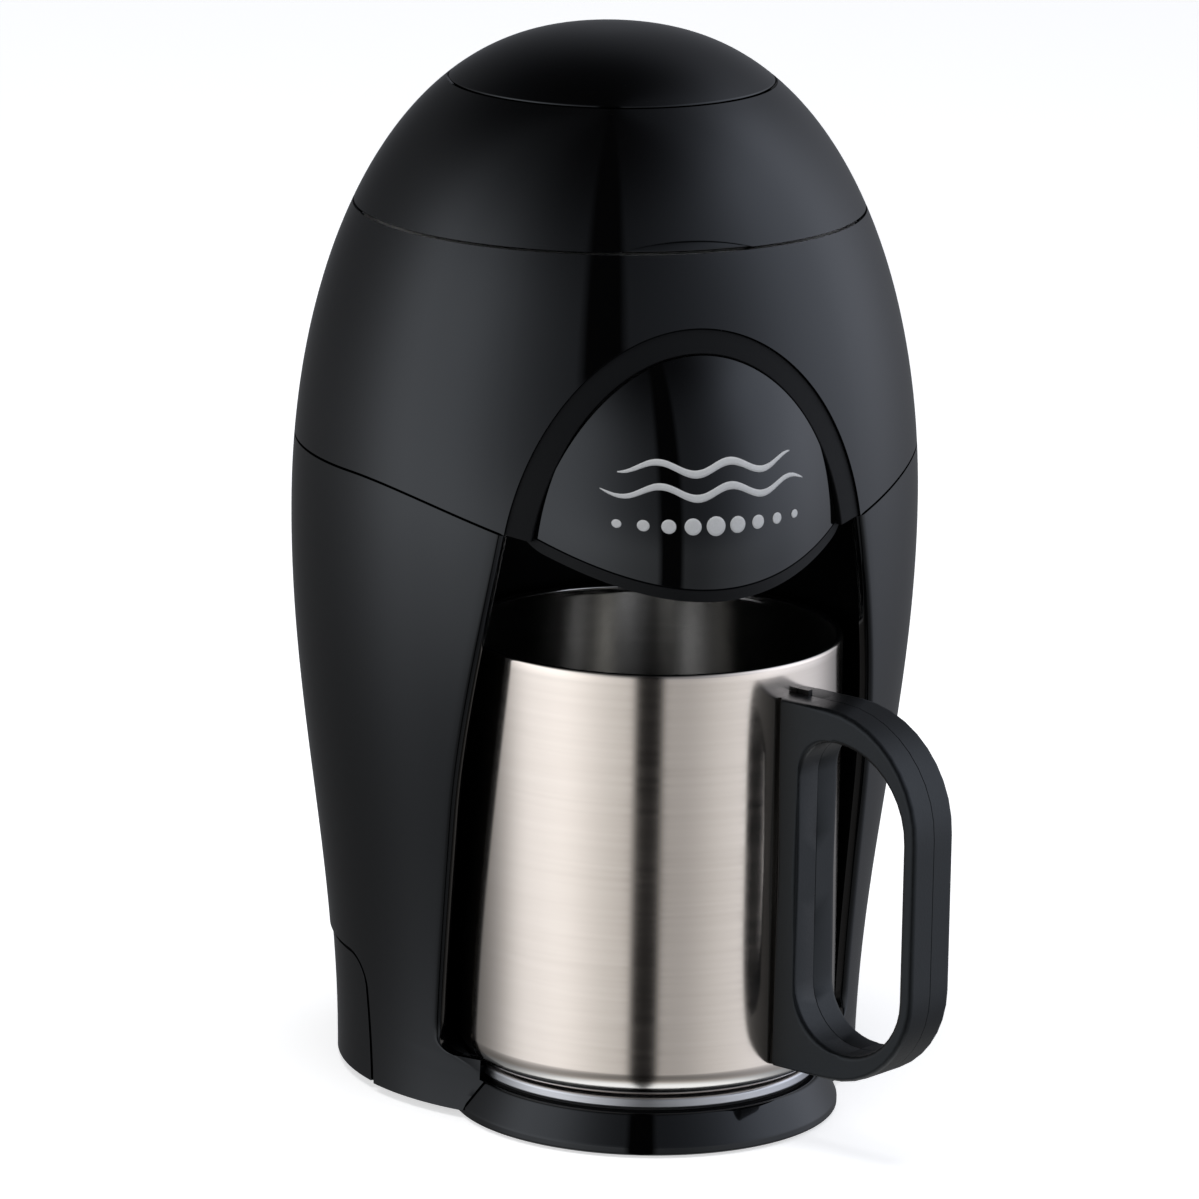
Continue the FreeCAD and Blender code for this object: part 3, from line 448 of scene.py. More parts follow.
def round_brushing() -> bpy.types.NodeTree:
    """Brush lines round an upright axis: noise that is long along the turn and fine across it."""

    def fill(graph: Graph, entry: bpy.types.Node) -> dict[str, Any]:
        """Nodes of the brushing.

        Args:
            graph: the group's graph.
            entry: the group's input node.

        Returns:
            A socket for each output.
        """
        x, y, z = graph.add("ShaderNodeSeparateXYZ", {"Vector": entry.outputs["Vector"]}).outputs
        square = graph.maths("ADD", graph.maths("MULTIPLY", x, x), graph.maths("MULTIPLY", y, y))
        radius = graph.maths("SQRT", square)
        lines = entry.outputs["Lines"]
        across = graph.maths("MULTIPLY", graph.maths("ADD", radius, z), lines)
        along = graph.add("ShaderNodeVectorMath", {0: entry.outputs["Vector"]}, operation="NORMALIZE")
        turn = graph.add("ShaderNodeSeparateXYZ", {"Vector": along.outputs[0]})
        around = [graph.maths("MULTIPLY", turn.outputs[k], 9.0) for k in (0, 1)]
        place = graph.add("ShaderNodeCombineXYZ", {"X": around[0], "Y": around[1], "Z": across})
        fine = graph.add("ShaderNodeTexNoise", {"Vector": place.outputs[0], "Scale": 1.0, "Detail": 3.0,
                                                "Roughness": 0.7})
        broad = graph.add("ShaderNodeTexNoise", {"Vector": place.outputs[0], "Scale": 0.16, "Detail": 2.0})
        return {"Height": fine.outputs[0], "Tone": graph.spread(broad.outputs[0], 0.3, 0.7, 0.0, 1.0)}

    return shader_group("round_brushing", {"Vector": "NodeSocketVector", "Lines": "NodeSocketFloat"},
                        ["Height", "Tone"], fill)


def plain_weave() -> bpy.types.NodeTree:
    """Woven threads: crossed sine waves whose product changes sign from thread to thread."""

    def fill(graph: Graph, entry: bpy.types.Node) -> dict[str, Any]:
        """Nodes of the weave.

        Args:
            graph: the group's graph.
            entry: the group's input node.

        Returns:
            A socket for each output.
        """
        x, y, z = graph.add("ShaderNodeSeparateXYZ", {"Vector": entry.outputs["Vector"]}).outputs
        scale = entry.outputs["Scale"]
        level = graph.maths("ADD", z, graph.maths("MULTIPLY", y, 0.5))
        a = graph.maths("SINE", graph.maths("MULTIPLY", x, scale))
        b = graph.maths("SINE", graph.maths("MULTIPLY", level, scale))
        weave = graph.maths("MULTIPLY", a, b)
        return {"Height": weave, "Mask": graph.spread(weave, -0.4, 0.4, 0.0, 1.0)}

    return shader_group("plain_weave", {"Vector": "NodeSocketVector", "Scale": "NodeSocketFloat"},
                        ["Height", "Mask"], fill)


# Finishes


class Texture(Enum):
    """Which shared effect gives a finish its fine relief."""

    POLISHED = "polished"
    GRAINED = "grained"
    BRUSHED = "brushed"
    WOVEN = "woven"


@dataclass(frozen=True)
class Finish:
    """One surface finish of the machine.

    Sizes of the texture are waves per metre, and the relief is in metres.
    """

    name: str
    colour: Colour
    second: Colour
    roughness: tuple[float, float]
    texture: Texture
    scale: float
    relief: float
    metallic: float = 0.0
    ior: float = 1.5
    tint: Colour = (1.0, 1.0, 1.0)
    centre_y: float = 0.0

    def material(self) -> bpy.types.Material:
        """The finish as a material, built at its first use.

        Returns:
            The material.
        """
        title = f"{self.name}_finish"
        found = bpy.data.materials.get(title)
        if found:
            return found
        material = bpy.data.materials.new(title)
        material.use_nodes = True
        graph = Graph(material.node_tree)
        place = graph.add("ShaderNodeTexCoord").outputs["Object"]
        moved = {"Vector": place, "Location": (0, -self.centre_y, 0)}
        centred = graph.add("ShaderNodeMapping", moved).outputs[0]
        marks = graph.add("ShaderNodeGroup", node_tree=handling_marks())
        graph.feed(marks, "Vector", centred)
        height, mask = self.relief_of(graph, centred)
        share = graph.maths("ADD", graph.maths("MULTIPLY", mask, 0.6),
                            graph.maths("MULTIPLY", marks.outputs[0], 0.4))
        shader = graph.add("ShaderNodeBsdfPrincipled", {"Metallic": self.metallic, "IOR": self.ior,
                                                        "Specular Tint": (*self.tint, 1)})
        graph.feed(shader, "Base Color", self.tone(graph, centred, share))
        graph.feed(shader, "Roughness", self.gloss(graph, centred, share))
        bump = graph.add("ShaderNodeBump", {"Height": height, "Distance": self.relief, "Strength": 1.0})
        graph.feed(shader, "Normal", bump.outputs[0])
        out = graph.add("ShaderNodeOutputMaterial")
        graph.feed(out, "Surface", shader.outputs[0])
        return material

    def tone(self, graph: Graph, place: Socket, share: Socket) -> Socket:
        """Base colour between the finish's two colours."""
        return graph.blend(share, (*self.colour, 1), (*self.second, 1))

    def gloss(self, graph: Graph, place: Socket, share: Socket) -> Socket:
        """Roughness between the finish's two values."""
        return graph.spread(share, 0.0, 1.0, *self.roughness)

    def relief_of(self, graph: Graph, place: Socket) -> tuple[Socket, Socket]:
        """Height and mask of the finish's texture.

        Args:
            graph: the material's graph.
            place: Object coordinates centred on the piece's axis.

        Returns:
            Two sockets, the height and the mask.
        """
        if self.texture is Texture.POLISHED:
            wave = graph.add("ShaderNodeTexNoise", {"Vector": place, "Scale": self.scale, "Detail": 2.0})
            return wave.outputs[0], graph.spread(wave.outputs[0], 0.4, 0.6, 0.0, 1.0)
        groups = {Texture.GRAINED: mould_grain, Texture.BRUSHED: round_brushing, Texture.WOVEN: plain_weave}
        group = graph.add("ShaderNodeGroup", node_tree=groups[self.texture]())
        graph.feed(group, "Vector", place)
        graph.feed(group, "Lines" if self.texture is Texture.BRUSHED else "Scale", self.scale)
        return group.outputs[0], group.outputs[1]


@dataclass(frozen=True)
class CupSteel(Finish):
    """Brushed steel with its own colour and least roughness inside a radius, as in a drinking cup."""

    inside_r: float = 0.0371
    floor_z: float = 0.0125
    inside: Colour = (0.8, 0.79, 0.77)
    inside_rough: float = 0.14

    def within(self, graph: Graph, place: Socket) -> Socket:
        """One inside the radius and above the cup's floor, and zero elsewhere.

        Args:
            graph: the material's graph.
            place: Object coordinates centred on the cup's axis.

        Returns:
            The mask's socket.
        """
        x, y, z = graph.add("ShaderNodeSeparateXYZ", {"Vector": place}).outputs
        square = graph.maths("ADD", graph.maths("MULTIPLY", x, x), graph.maths("MULTIPLY", y, y))
        near = graph.spread(graph.maths("SQRT", square), self.inside_r, self.inside_r + 2e-4, 1.0, 0.0)
        above = graph.spread(z, self.floor_z, self.floor_z + 2e-4, 0.0, 1.0)
        return graph.maths("MULTIPLY", near, above)

    def tone(self, graph: Graph, place: Socket, share: Socket) -> Socket:
        """The outside's two colours, or the inside colour."""
        outside = super().tone(graph, place, share)
        return graph.blend(self.within(graph, place), outside, (*self.inside, 1))

    def gloss(self, graph: Graph, place: Socket, share: Socket) -> Socket:
        """The outside's roughness, and inside the cup at least the inside one."""
        return graph.maths("MAXIMUM", super().gloss(graph, place, share),
                           graph.maths("MULTIPLY", self.within(graph, place), self.inside_rough))


@dataclass(frozen=True)
class Palette:
    """Every finish of the machine by its material slot in the record."""

    mug_y: float

    def finishes(self) -> dict[str, Finish]:
        """All finishes.

        Returns:
            Finish by slot.
        """
        polished, grained, brushed, woven = Texture
        rows = [
            Finish("gloss_black", (0.0009, 0.0009, 0.001), (0.0014, 0.0014, 0.0015), (0.03, 0.06),
                   polished, 26.0, 1e-6, ior=1.47, tint=(0.91, 0.955, 1.0)),
            Finish("satin_black", (0.0036, 0.004, 0.0045), (0.0047, 0.0052, 0.0058), (0.5, 0.6),
                   grained, 2400.0, 4e-6, ior=1.25),
            Finish("handle_black", (0.0026, 0.0029, 0.0032), (0.004, 0.0044, 0.0049), (0.32, 0.42),
                   grained, 1900.0, 1.2e-5, ior=1.37, tint=(0.86, 0.94, 1.0)),
            Finish("rocker_black", (0.012, 0.012, 0.013), (0.017, 0.017, 0.018), (0.22, 0.32),
                   grained, 1800.0, 5e-6),
            Finish("black_rubber", (0.014, 0.014, 0.014), (0.024, 0.024, 0.024), (0.6, 0.75),
                   grained, 1500.0, 2e-5),
            Finish("pale_silicone", (0.66, 0.65, 0.61), (0.74, 0.73, 0.7), (0.45, 0.6),
                   grained, 900.0, 1e-5),
            Finish("tank_plastic", (0.36, 0.37, 0.38), (0.44, 0.45, 0.46), (0.35, 0.5),
                   grained, 1400.0, 8e-6),
            Finish("basket_black", (0.018, 0.018, 0.019), (0.026, 0.026, 0.027), (0.38, 0.5),
                   grained, 1800.0, 1e-5),
            Finish("filter_grey", (0.075, 0.075, 0.08), (0.1, 0.1, 0.105), (0.4, 0.5),
                   grained, 1800.0, 1e-5),
            Finish("mesh_steel", (0.55, 0.52, 0.46), (0.2, 0.19, 0.17), (0.3, 0.45),
                   woven, 9000.0, 6e-5, 1.0),
            CupSteel("mug_steel", (0.81, 0.735, 0.66), (0.77, 0.695, 0.62), (0.12, 0.17),
                     brushed, 5200.0, 2e-6, 1.0, centre_y=self.mug_y),
            # The handle strap's steel gets a near-black colour as painted shade: its nub between the handle
            # halves is seen dark
            Finish("strap_steel", (0.04, 0.04, 0.04), (0.055, 0.055, 0.055), (0.35, 0.45),
                   grained, 1500.0, 6e-6, 1.0),
            Finish("plate_aluminium", (0.62, 0.63, 0.65), (0.54, 0.55, 0.57), (0.28, 0.4),
                   brushed, 3200.0, 8e-6, 1.0, centre_y=self.mug_y),
            Finish("heater_aluminium", (0.58, 0.58, 0.59), (0.48, 0.48, 0.49), (0.35, 0.5),
                   grained, 1200.0, 2e-5, 1.0),
            Finish("rod_steel", (0.3, 0.285, 0.27), (0.2, 0.16, 0.13), (0.4, 0.55),
                   grained, 700.0, 2e-5, 1.0),
            Finish("steel_parts", (0.58, 0.58, 0.58), (0.48, 0.48, 0.48), (0.25, 0.4),
                   grained, 1500.0, 8e-6, 1.0),
            Finish("thermostat_ceramic", (0.7, 0.68, 0.62), (0.6, 0.58, 0.53), (0.55, 0.7),
                   grained, 1300.0, 1e-5),
            Finish("fuse_brass", (0.68, 0.52, 0.27), (0.55, 0.42, 0.22), (0.3, 0.45),
                   grained, 1200.0, 8e-6, 1.0),
            Finish("terminal_white", (0.76, 0.75, 0.7), (0.68, 0.67, 0.62), (0.4, 0.5),
                   grained, 1600.0, 8e-6),
            Finish("wire_sleeve", (0.5, 0.08, 0.055), (0.33, 0.05, 0.035), (0.55, 0.7),
                   woven, 7000.0, 4e-5),
            Finish(TRIM_FINISH, (0.5, 0.505, 0.5), (0.56, 0.565, 0.56), (0.35, 0.45),
                   grained, 2600.0, 2e-6),
        ]
        return {row.name: row for row in rows}


# Pieces


@dataclass
class Bench:
    """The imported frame, where the drawing's axis stands in it, and how a piece is made there."""

    nodes: dict[str, bpy.types.Object]
    axis_y: float
    finishes: dict[str, Finish]

    def place(self, points: Array) -> Array:
        """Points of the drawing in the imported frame, in metres."""
        return points * MM + np.array([0.0, self.axis_y, 0.0])

    def piece(self, name: str, surface: Surface, body: str, slot: str, nodes: tuple[str, ...] = (),
              wall: float = 0.0, edge: float = 0.0) -> bpy.types.Object:
        """Makes a mesh piece that rides on a body.

        Args:
            name: the piece's name.
            surface: its points and faces, closed unless a wall is given.
            body: the CAD body that it moves with.
            slot: its finish, which is also the record's material slot, except for the trim.
            nodes: CAD nodes that it stands for.
            wall: thickness given to an open sheet, inwards, in millimetres.
            edge: radius of its sharp edges, in millimetres.

        Returns:
            The new object.
        """
        mesh = bpy.data.meshes.new(name)
        mesh.from_pydata(self.place(surface.points).tolist(), [], surface.faces)
        self.clean(mesh, closed=wall == 0)
        obj = bpy.data.objects.new(name, mesh)
        bpy.context.scene.collection.objects.link(obj)
        if wall:
            shell = obj.modifiers.new("wall", "SOLIDIFY")
            shell.thickness = wall * MM
            shell.offset = -1.0
            shell.use_even_offset = True
        if edge:
            bevel = obj.modifiers.new("edges", "BEVEL")
            bevel.width = edge * MM
            bevel.segments = 3
            bevel.limit_method = "ANGLE"
            bevel.angle_limit = math.radians(40)
            bevel.harden_normals = True
        mesh.materials.append(self.finishes[slot].material())
        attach(obj, body)
        if nodes:
            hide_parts(*nodes)
        log.info("piece %s: %d points on %s", name, len(mesh.vertices), body)
        return obj

    @staticmethod
    def clean(mesh: bpy.types.Mesh, closed: bool) -> None:
        """Joins doubled points, drops faces without area and shades the mesh smooth.

        Args:
            mesh: the mesh to clean.
            closed: also turns all faces outwards.
        """
        work = bmesh.new()
        work.from_mesh(mesh)
        bmesh.ops.remove_doubles(work, verts=work.verts, dist=2e-6)
        bmesh.ops.dissolve_degenerate(work, edges=work.edges, dist=1e-7)
        if closed:
            bmesh.ops.recalc_face_normals(work, faces=work.faces)
        work.to_mesh(mesh)
        work.free()
        mesh.polygons.foreach_set("use_smooth", np.ones(len(mesh.polygons), bool))
        if closed:
            mesh.set_sharp_from_angle(angle=math.radians(32))

    def dress(self, node: str, slot: str) -> None:
        """Gives a CAD node its finish.

        Args:
            node: the CAD node's name.
            slot: its material slot in the record.
        """
        obj = self.nodes[node]
        material = self.finishes[slot].material()
        for holder in obj.material_slots:
            holder.material = material
        log.info("node %s: %s", node, slot)


# The egg-shaped body


@dataclass(frozen=True)
class Egg:
    """Side view of the body: a half cosine up to the belly, then a superellipse dome."""

    foot_r: float = 52.7
    belly_r: float = 62.55
    belly_z: float = 115.0
    top_z: float = 211.4
    power_r: float = 2.4
    power_z: float = 2.05

    def radius(self, z: Array) -> Array:
        """Outer radius at a height.

        Args:
            z: heights.

        Returns:
            Radii.
        """
        low = self.foot_r + (self.belly_r - self.foot_r) * (1 - np.cos(np.pi * z / self.belly_z)) / 2
        share = np.clip((z - self.belly_z) / (self.top_z - self.belly_z), 0, 1)
        dome = self.belly_r * (1 - share ** self.power_z) ** (1 / self.power_r)
        return np.where(z < self.belly_z, low, dome)

    def inner_radius(self, z: Array, depth: float | Array) -> Array:
        """Radius of the surface that lies a depth under the outside, measured square to it."""
        slope = (self.radius(z + 0.05) - self.radius(z - 0.05)) / 0.1
        return self.radius(z) - depth * np.sqrt(1 + slope ** 2)

    def points(self, turn: Array, z: Array, depth: float | Array = 0.0) -> Array:
        """Points a depth under the body's surface: x = R(z) sin t, y = -R(z) cos t."""
        r = self.inner_radius(z, depth)
        return np.stack([r * np.sin(turn), -r * np.cos(turn), z + 0 * turn], -1)

    def turn_at(self, x: Array, z: Array) -> Array:
        """Turn of the front point with a given X."""
        return np.arcsin(np.clip(x / self.radius(z), -1, 1))


@dataclass(frozen=True)
class FrontOpening:
    """Arch over the nose that widens into the mug bay, seen from the front."""

    half_width: float = 37.4
    rise: float = 52.2
    centre_z: float = 110.0
    end_z: float = 122.0
    bay_half: float = 42.6
    straight_z: float = 62.0
    floor_z: float = 12.7
    under_z: float = 10.4
    corner_r: float = 3.0

    def arch(self, angle: Array, inset: float | Array = 0.0) -> tuple[Array, Array]:
        """Arch as an ellipse: x = (a - inset) sin t, z = c + (b - inset) cos t."""
        x = (self.half_width - inset) * np.sin(angle)
        return x, self.centre_z + (self.rise - inset) * np.cos(angle)

    def edge(self, z: Array, sill: Array) -> Array:
        """Half width of the opening at a height.

        A cubic Hermite curve runs from the arch's end to the upright edge, a quarter circle rounds
        the lower corner, and under the floor the edge keeps clear of the mug's base.

        Args:
            z: heights.
            sill: half width under the floor.

        Returns:
            Half widths.
        """
        drop = self.end_z - self.centre_z
        top = self.half_width * math.sqrt(1 - (drop / self.rise) ** 2)
        slope = (self.half_width / self.rise) ** 2 * drop / top * (self.end_z - self.straight_z)
        w = np.clip((self.end_z - z) / (self.end_z - self.straight_z), 0, 1)
        side = (2 * w ** 3 - 3 * w ** 2 + 1) * top + (w ** 3 - 2 * w ** 2 + w) * slope
        side = side + (3 * w ** 2 - 2 * w ** 3) * self.bay_half
        dip = np.clip(self.floor_z + self.corner_r - z, 0, self.corner_r)
        corner = self.corner_r - np.sqrt(self.corner_r ** 2 - dip ** 2)
        return np.where(z < self.floor_z, sill, side - corner)


@dataclass(frozen=True)
class Seam:
    """Seam between the housings: level, then an arc down to the front."""

    level_z: float = 129.0
    dip_y: float = -20.0
    dip_r: float = 70.0
    half_gap: float = 0.25

    def height(self, y: Array, raise_by: float) -> Array:
        """Height of the seam at a Y."""
        past = np.clip(self.dip_y - y, 0, self.dip_r)
        return self.level_z + raise_by - (self.dip_r - np.sqrt(self.dip_r ** 2 - past ** 2))


@dataclass
class Housing:
    """Lower and upper gloss shells, the bay's liner, the hinge lugs and the rear skirt."""

    bench: Bench
    egg: Egg = field(default_factory=Egg)
    opening: FrontOpening = field(default_factory=FrontOpening)
    seam: Seam = field(default_factory=Seam)
    wall: float = 2.4
    edge: float = 0.45
    roll_r: float = 1.5
    bottom_z: float = 1.6
    mug_y: float = MUG_Y
    mug_clear: float = 36.5
    edge_low_z: float = 8.7
    clear_z: tuple[float, ...] = (2.2, 8.3, 8.6)
    clear_r: tuple[float, ...] = (38.75, 35.95, 36.5)
    blend_turn: float = math.radians(66)
    skirt_y: float = -15.0
    skirt_lean: float = 0.0494
    skirt_top_z: float = 27.5
    skirt_corner: float = 7.0
    skirt_inset: float = 0.5
    skirt_gap: float = 0.25
    skirt_blend: float = math.radians(92)
    groove_top: float = 0.9
    groove_front: float = 1.7
    groove_depth: float = 0.7
    groove_wall: float = 1.5
    groove_floor: float = 3.0
    pad_half: tuple[float, float] = (13.0, 9.95)
    pad_low_z: tuple[float, float] = (5.0, 8.05)
    pad_high_z: tuple[float, float] = (24.0, 20.95)
    pad_r: tuple[float, float] = (1.5, 0.4)
    pad_y: tuple[float, float] = (47.5, 53.4)
    bay_wall: float = 2.2
    bay_low_z: float = 16.0
    bay_top_z: float = 119.2
    bay_end: float = 1.3
    lid_z: float = 176.0
    hinge: tuple[float, float] = HINGE
    hinge_r: float = HINGE_R
    pin_r: float = 1.4
    lug_x: tuple[float, float] = (5.2, 10.0)
    lug_foot: float = 13.0
    knuckle_room: float = 0.6

    def build(self) -> None:
        """Makes every piece of the housing."""
        self.lower_shell()
        self.bay_liner()
        self.upper_shell()
        self.hinge_lugs()
        self.rear_skirt()
        self.switch_pad()

    def sill(self, z: Array) -> Array:
        """Half width of the shell's front edge under the bay floor.

        There the body's circle meets a circle about the mug's axis that clears the flared base at
        the bottom and the mug at the floor.

        Args:
            z: heights.

        Returns:
            Half widths.
        """
        clear = np.interp(z, self.clear_z, self.clear_r)
        r = self.egg.radius(z)
        y = (r ** 2 + self.mug_y ** 2 - clear ** 2) / (2 * self.mug_y)
        return np.sqrt(np.clip(r ** 2 - y ** 2, 0, None))

    def opening_turn(self, z: Array) -> Array:
        """Turn of the front opening's right edge."""
        return self.egg.turn_at(self.opening.edge(z, self.sill(z)), z)

    def skirt_front(self, z: Array, gap: float) -> Array:
        """Y of the rear skirt's front edge: it leans back, and a quarter circle rounds its top.

        Args:
            z: heights.
            gap: how far outside the skirt's own edge the line runs.

        Returns:
            Y at each height.
        """
        r = self.skirt_corner + gap
        rise = np.clip(z - (self.skirt_top_z + gap - r), 0, r)
        lean = self.skirt_lean * np.minimum(z + 20, self.skirt_top_z - self.skirt_corner + 20)
        return self.skirt_y - gap + lean + r - np.sqrt(r ** 2 - rise ** 2)

    def mirrored(self, half: Array) -> Array:
        """Turns of the right half followed by those of the left half."""
        return np.concatenate([half, 2 * np.pi - half[..., ::-1][..., 1:]], axis=-1)

    def lower_shell(self) -> None:
        """Skin under the seam, with a rolled edge round the bay.

        Near the opening the turn is blended between the opening's edge and a fixed turn, and from
        there on each column keeps its turn. The first columns sink along a quarter circle, which
        rolls the edge inwards. Each column runs from its lower edge, which steps up over the rear
        skirt, to the seam.
        """
        bend = np.linspace(np.pi / 2, 0, 7)
        roll = np.concatenate([1 - np.sin(bend), np.ones(16)])
        sink = np.concatenate([1 - np.cos(bend), np.zeros(16)])
        share = np.concatenate([np.zeros(7), np.linspace(0, 1, 18)[1:-1]])
        back_z = self.skirt_top_z + self.skirt_gap
        step_z = self.bottom_z + (back_z - self.bottom_z) * np.sin(np.linspace(0, np.pi / 2, 34))
        step = np.arccos(-self.skirt_front(step_z, self.skirt_gap) / self.egg.radius(step_z))
        plain = np.linspace(self.blend_turn, step[0], 6)[:-1]
        back = np.linspace(step[-1], np.pi, 62)[1:]
        fixed = np.concatenate([plain, step, back])
        rest = np.zeros(len(fixed))
        roll, sink = np.concatenate([roll, rest]), np.concatenate([sink, rest])
        weight = np.concatenate([share, rest + 1])
        target = np.concatenate([np.full(len(share), self.blend_turn), fixed])
        low = np.concatenate([np.full(len(share) + len(plain), self.bottom_z), step_z,
                              np.full(len(back), back_z)])

        def turn_at(z: Array) -> Array:
            """Turn of every column at its height."""
            start = self.opening_turn(z) + roll * self.roll_radius(z) / self.egg.radius(z)
            return (1 - weight) * start + weight * target

        top = np.full(len(weight), self.seam.level_z)
        for _ in range(25):
            top = self.seam.height(-self.egg.radius(top) * np.cos(turn_at(top)), -self.seam.half_gap)
        corner = self.opening.floor_z + self.opening.corner_r * (1 - np.cos(np.linspace(0, np.pi / 2, 9)))
        foot = [self.bottom_z, 3.2, 4.9, 6.6, 8.3, 8.6, 10.4, self.opening.floor_z - 0.02]
        rows = np.concatenate([foot, corner, np.linspace(corner[-1] + 2.0, top[0], 54)])
        rise = (rows - rows[0]) / (rows[-1] - rows[0])
        z = low[None, :] + (top - low)[None, :] * rise[:, None]
        turn = self.mirrored(turn_at(z))
        depth = sink * self.roll_radius(z)
        depth = np.concatenate([depth, depth[:, ::-1][:, 1:]], axis=1)
        z = np.concatenate([z, z[:, ::-1][:, 1:]], axis=1)
        surface = thick_sheet(self.egg.points(turn, z, depth), self.egg.points(turn, z, self.wall))
        self.bench.piece("lower_shell", surface, "housing", "gloss_black", ("lower_housing",), edge=self.edge)

    def roll_radius(self, z: Array) -> Array:
        """Radius of the opening's rolled edge, which fades out at the bay floor."""
        share = np.clip((z - self.opening.floor_z) / 5.0, 0, 1)
        return self.roll_r * share * share * (3 - 2 * share)

    def bay_liner(self) -> None:
        """Bay wall and floor: an L-shaped profile carried round the mug's place and out to the shell.

        A profile point at radius r runs straight from the shell to the mug's axis line, round half
        a circle of radius r behind it, and straight out again. Low down the shell cuts the circle
        itself, and the straight runs have no length. The floor's inner edge reaches down past the
        plate and hides the inside.
        """
        inner, outer = self.opening.bay_half, self.opening.bay_half + self.bay_wall
        floor = self.opening.floor_z
        heights = np.linspace(self.bay_low_z, self.bay_top_z, 24)
        foot = rounded_corners([(self.mug_clear, self.edge_low_z, 0), (self.mug_clear, floor, 0.6),
                                (inner, floor, 1.6), (inner, self.bay_low_z, 0)])
        up = np.stack([np.full(24, inner), heights], -1)
        down = np.stack([np.full(24, outer), heights[::-1]], -1)
        foot_end = np.array([[outer, self.opening.under_z]])
        profile = np.vstack([foot[:-1], up, down, foot_end])
        r, z = profile[:, :1], profile[:, 1:]
        skin = self.egg.radius(z) - self.bay_end
        front = np.minimum(-np.sqrt(skin ** 2 - r ** 2), self.mug_y)
        meet = (skin ** 2 + self.mug_y ** 2 - r ** 2) / (2 * self.mug_y)
        start = np.maximum(np.arccos((self.mug_y - meet) / r), np.pi / 2)
        run = np.linspace(0, 1, 10)[None, :]
        bend = start + (2 * np.pi - 2 * start) * np.linspace(0, 1, 57)[None, :]
        out_y = front + (self.mug_y - front) * run - r * np.cos(start)
        out_x = r * np.sin(start) + 0 * run
        x = np.concatenate([out_x[:, :-1], r * np.sin(bend), -out_x[:, 1:]], 1)
        y = np.concatenate([out_y[:, :-1], self.mug_y - r * np.cos(bend), out_y[:, ::-1][:, 1:]], 1)
        grid = np.stack([x, y, z + 0 * x], -1)
        surface = grid_surface(grid, wrap_rows=True, end_caps=True)
        self.bench.piece("bay_liner", surface, "housing", "satin_black", ("lower_housing",))

    def upper_shell(self) -> None:
        """Outer skin from the seam and the arch up to the lid, with a notch for the lid's knuckle."""
        end = math.acos((self.opening.end_z - self.opening.centre_z) / self.opening.rise)
        angle = np.linspace(0, end, 44)
        arch_x, arch_z = self.opening.arch(angle)
        arch = self.egg.turn_at(arch_x, arch_z)
        notch_r = float(self.egg.radius(np.array(self.lid_z)))
        notch = math.pi - math.asin(self.lug_x[0] / notch_r)
        side = np.linspace(arch[-1] + 0.012, notch - 0.012, 70)
        back = np.array([notch - 0.0004, notch + 0.0004])
        rest = np.concatenate([side, back, np.linspace(notch + 0.02, math.pi, 5)])
        low = np.full(len(rest), self.seam.level_z)
        for _ in range(25):
            low = self.seam.height(-self.egg.radius(low) * np.cos(rest), self.seam.half_gap)
        half = np.concatenate([arch, rest])
        low = np.concatenate([arch_z, low])
        top_z = self.lid_z - self.seam.half_gap
        top = np.where(half > notch, self.hinge[1] - self.hinge_r - self.knuckle_room, top_z)
        rise = np.linspace(0, 1, 27)[:, None]
        z = low[None, :] + (top - low)[None, :] * rise
        turn = np.broadcast_to(half, z.shape)
        ring = np.concatenate([turn, 2 * np.pi - turn[:, ::-1][:, 1:-1]], 1)
        z = np.concatenate([z, z[:, ::-1][:, 1:-1]], 1)
        surface = grid_surface(self.egg.points(ring, z), wrap_cols=True)
        self.bench.piece("upper_shell", surface, "housing", "gloss_black", ("upper_housing",),
                         self.wall, self.edge)

    def hinge_lugs(self) -> None:
        """Two lugs about the hinge pin: a ring whose outer radius reaches down into a web.

        Above the pin the radius is that of the eye, and below it the nearer of the web's side and
        the web's foot, seen from the pin.
        """
        angle = whole_turn(64)
        down = np.maximum(-np.cos(angle), 1e-6)
        across = np.maximum(np.abs(np.sin(angle)), 1e-6)
        web = np.minimum(self.hinge_r / across, self.lug_foot / down)
        reach = np.where(np.cos(angle) > 0, self.hinge_r, np.maximum(web, self.hinge_r))
        surface = None
        for side in (-1, 1):
            near, far = side * self.lug_x[0], side * self.lug_x[1]
            lug = eye_ring(self.hinge, angle, self.pin_r, reach, near, far)
            surface = lug if surface is None else surface.joined(lug)
        self.bench.piece("hinge_lugs", surface, "housing", "gloss_black", ("upper_housing",), edge=0.4)

    def rear_skirt(self) -> None:
        """Low panel round the back, a little under the shell, and the dark groove along its edge."""
        panel = self.skirt_sheet(self.groove_top, self.groove_front, self.skirt_inset, self.bottom_z)
        self.bench.piece("skirt_panel", panel, "housing", "gloss_black", ("rear_skirt",),
                         self.wall, self.edge)
        floor = self.skirt_sheet(0.0, 0.0, self.skirt_inset + self.groove_depth,
                                 self.skirt_top_z - self.groove_floor)
        self.bench.piece("skirt_groove", floor, "housing", "satin_black", ("rear_skirt",), self.groove_wall)

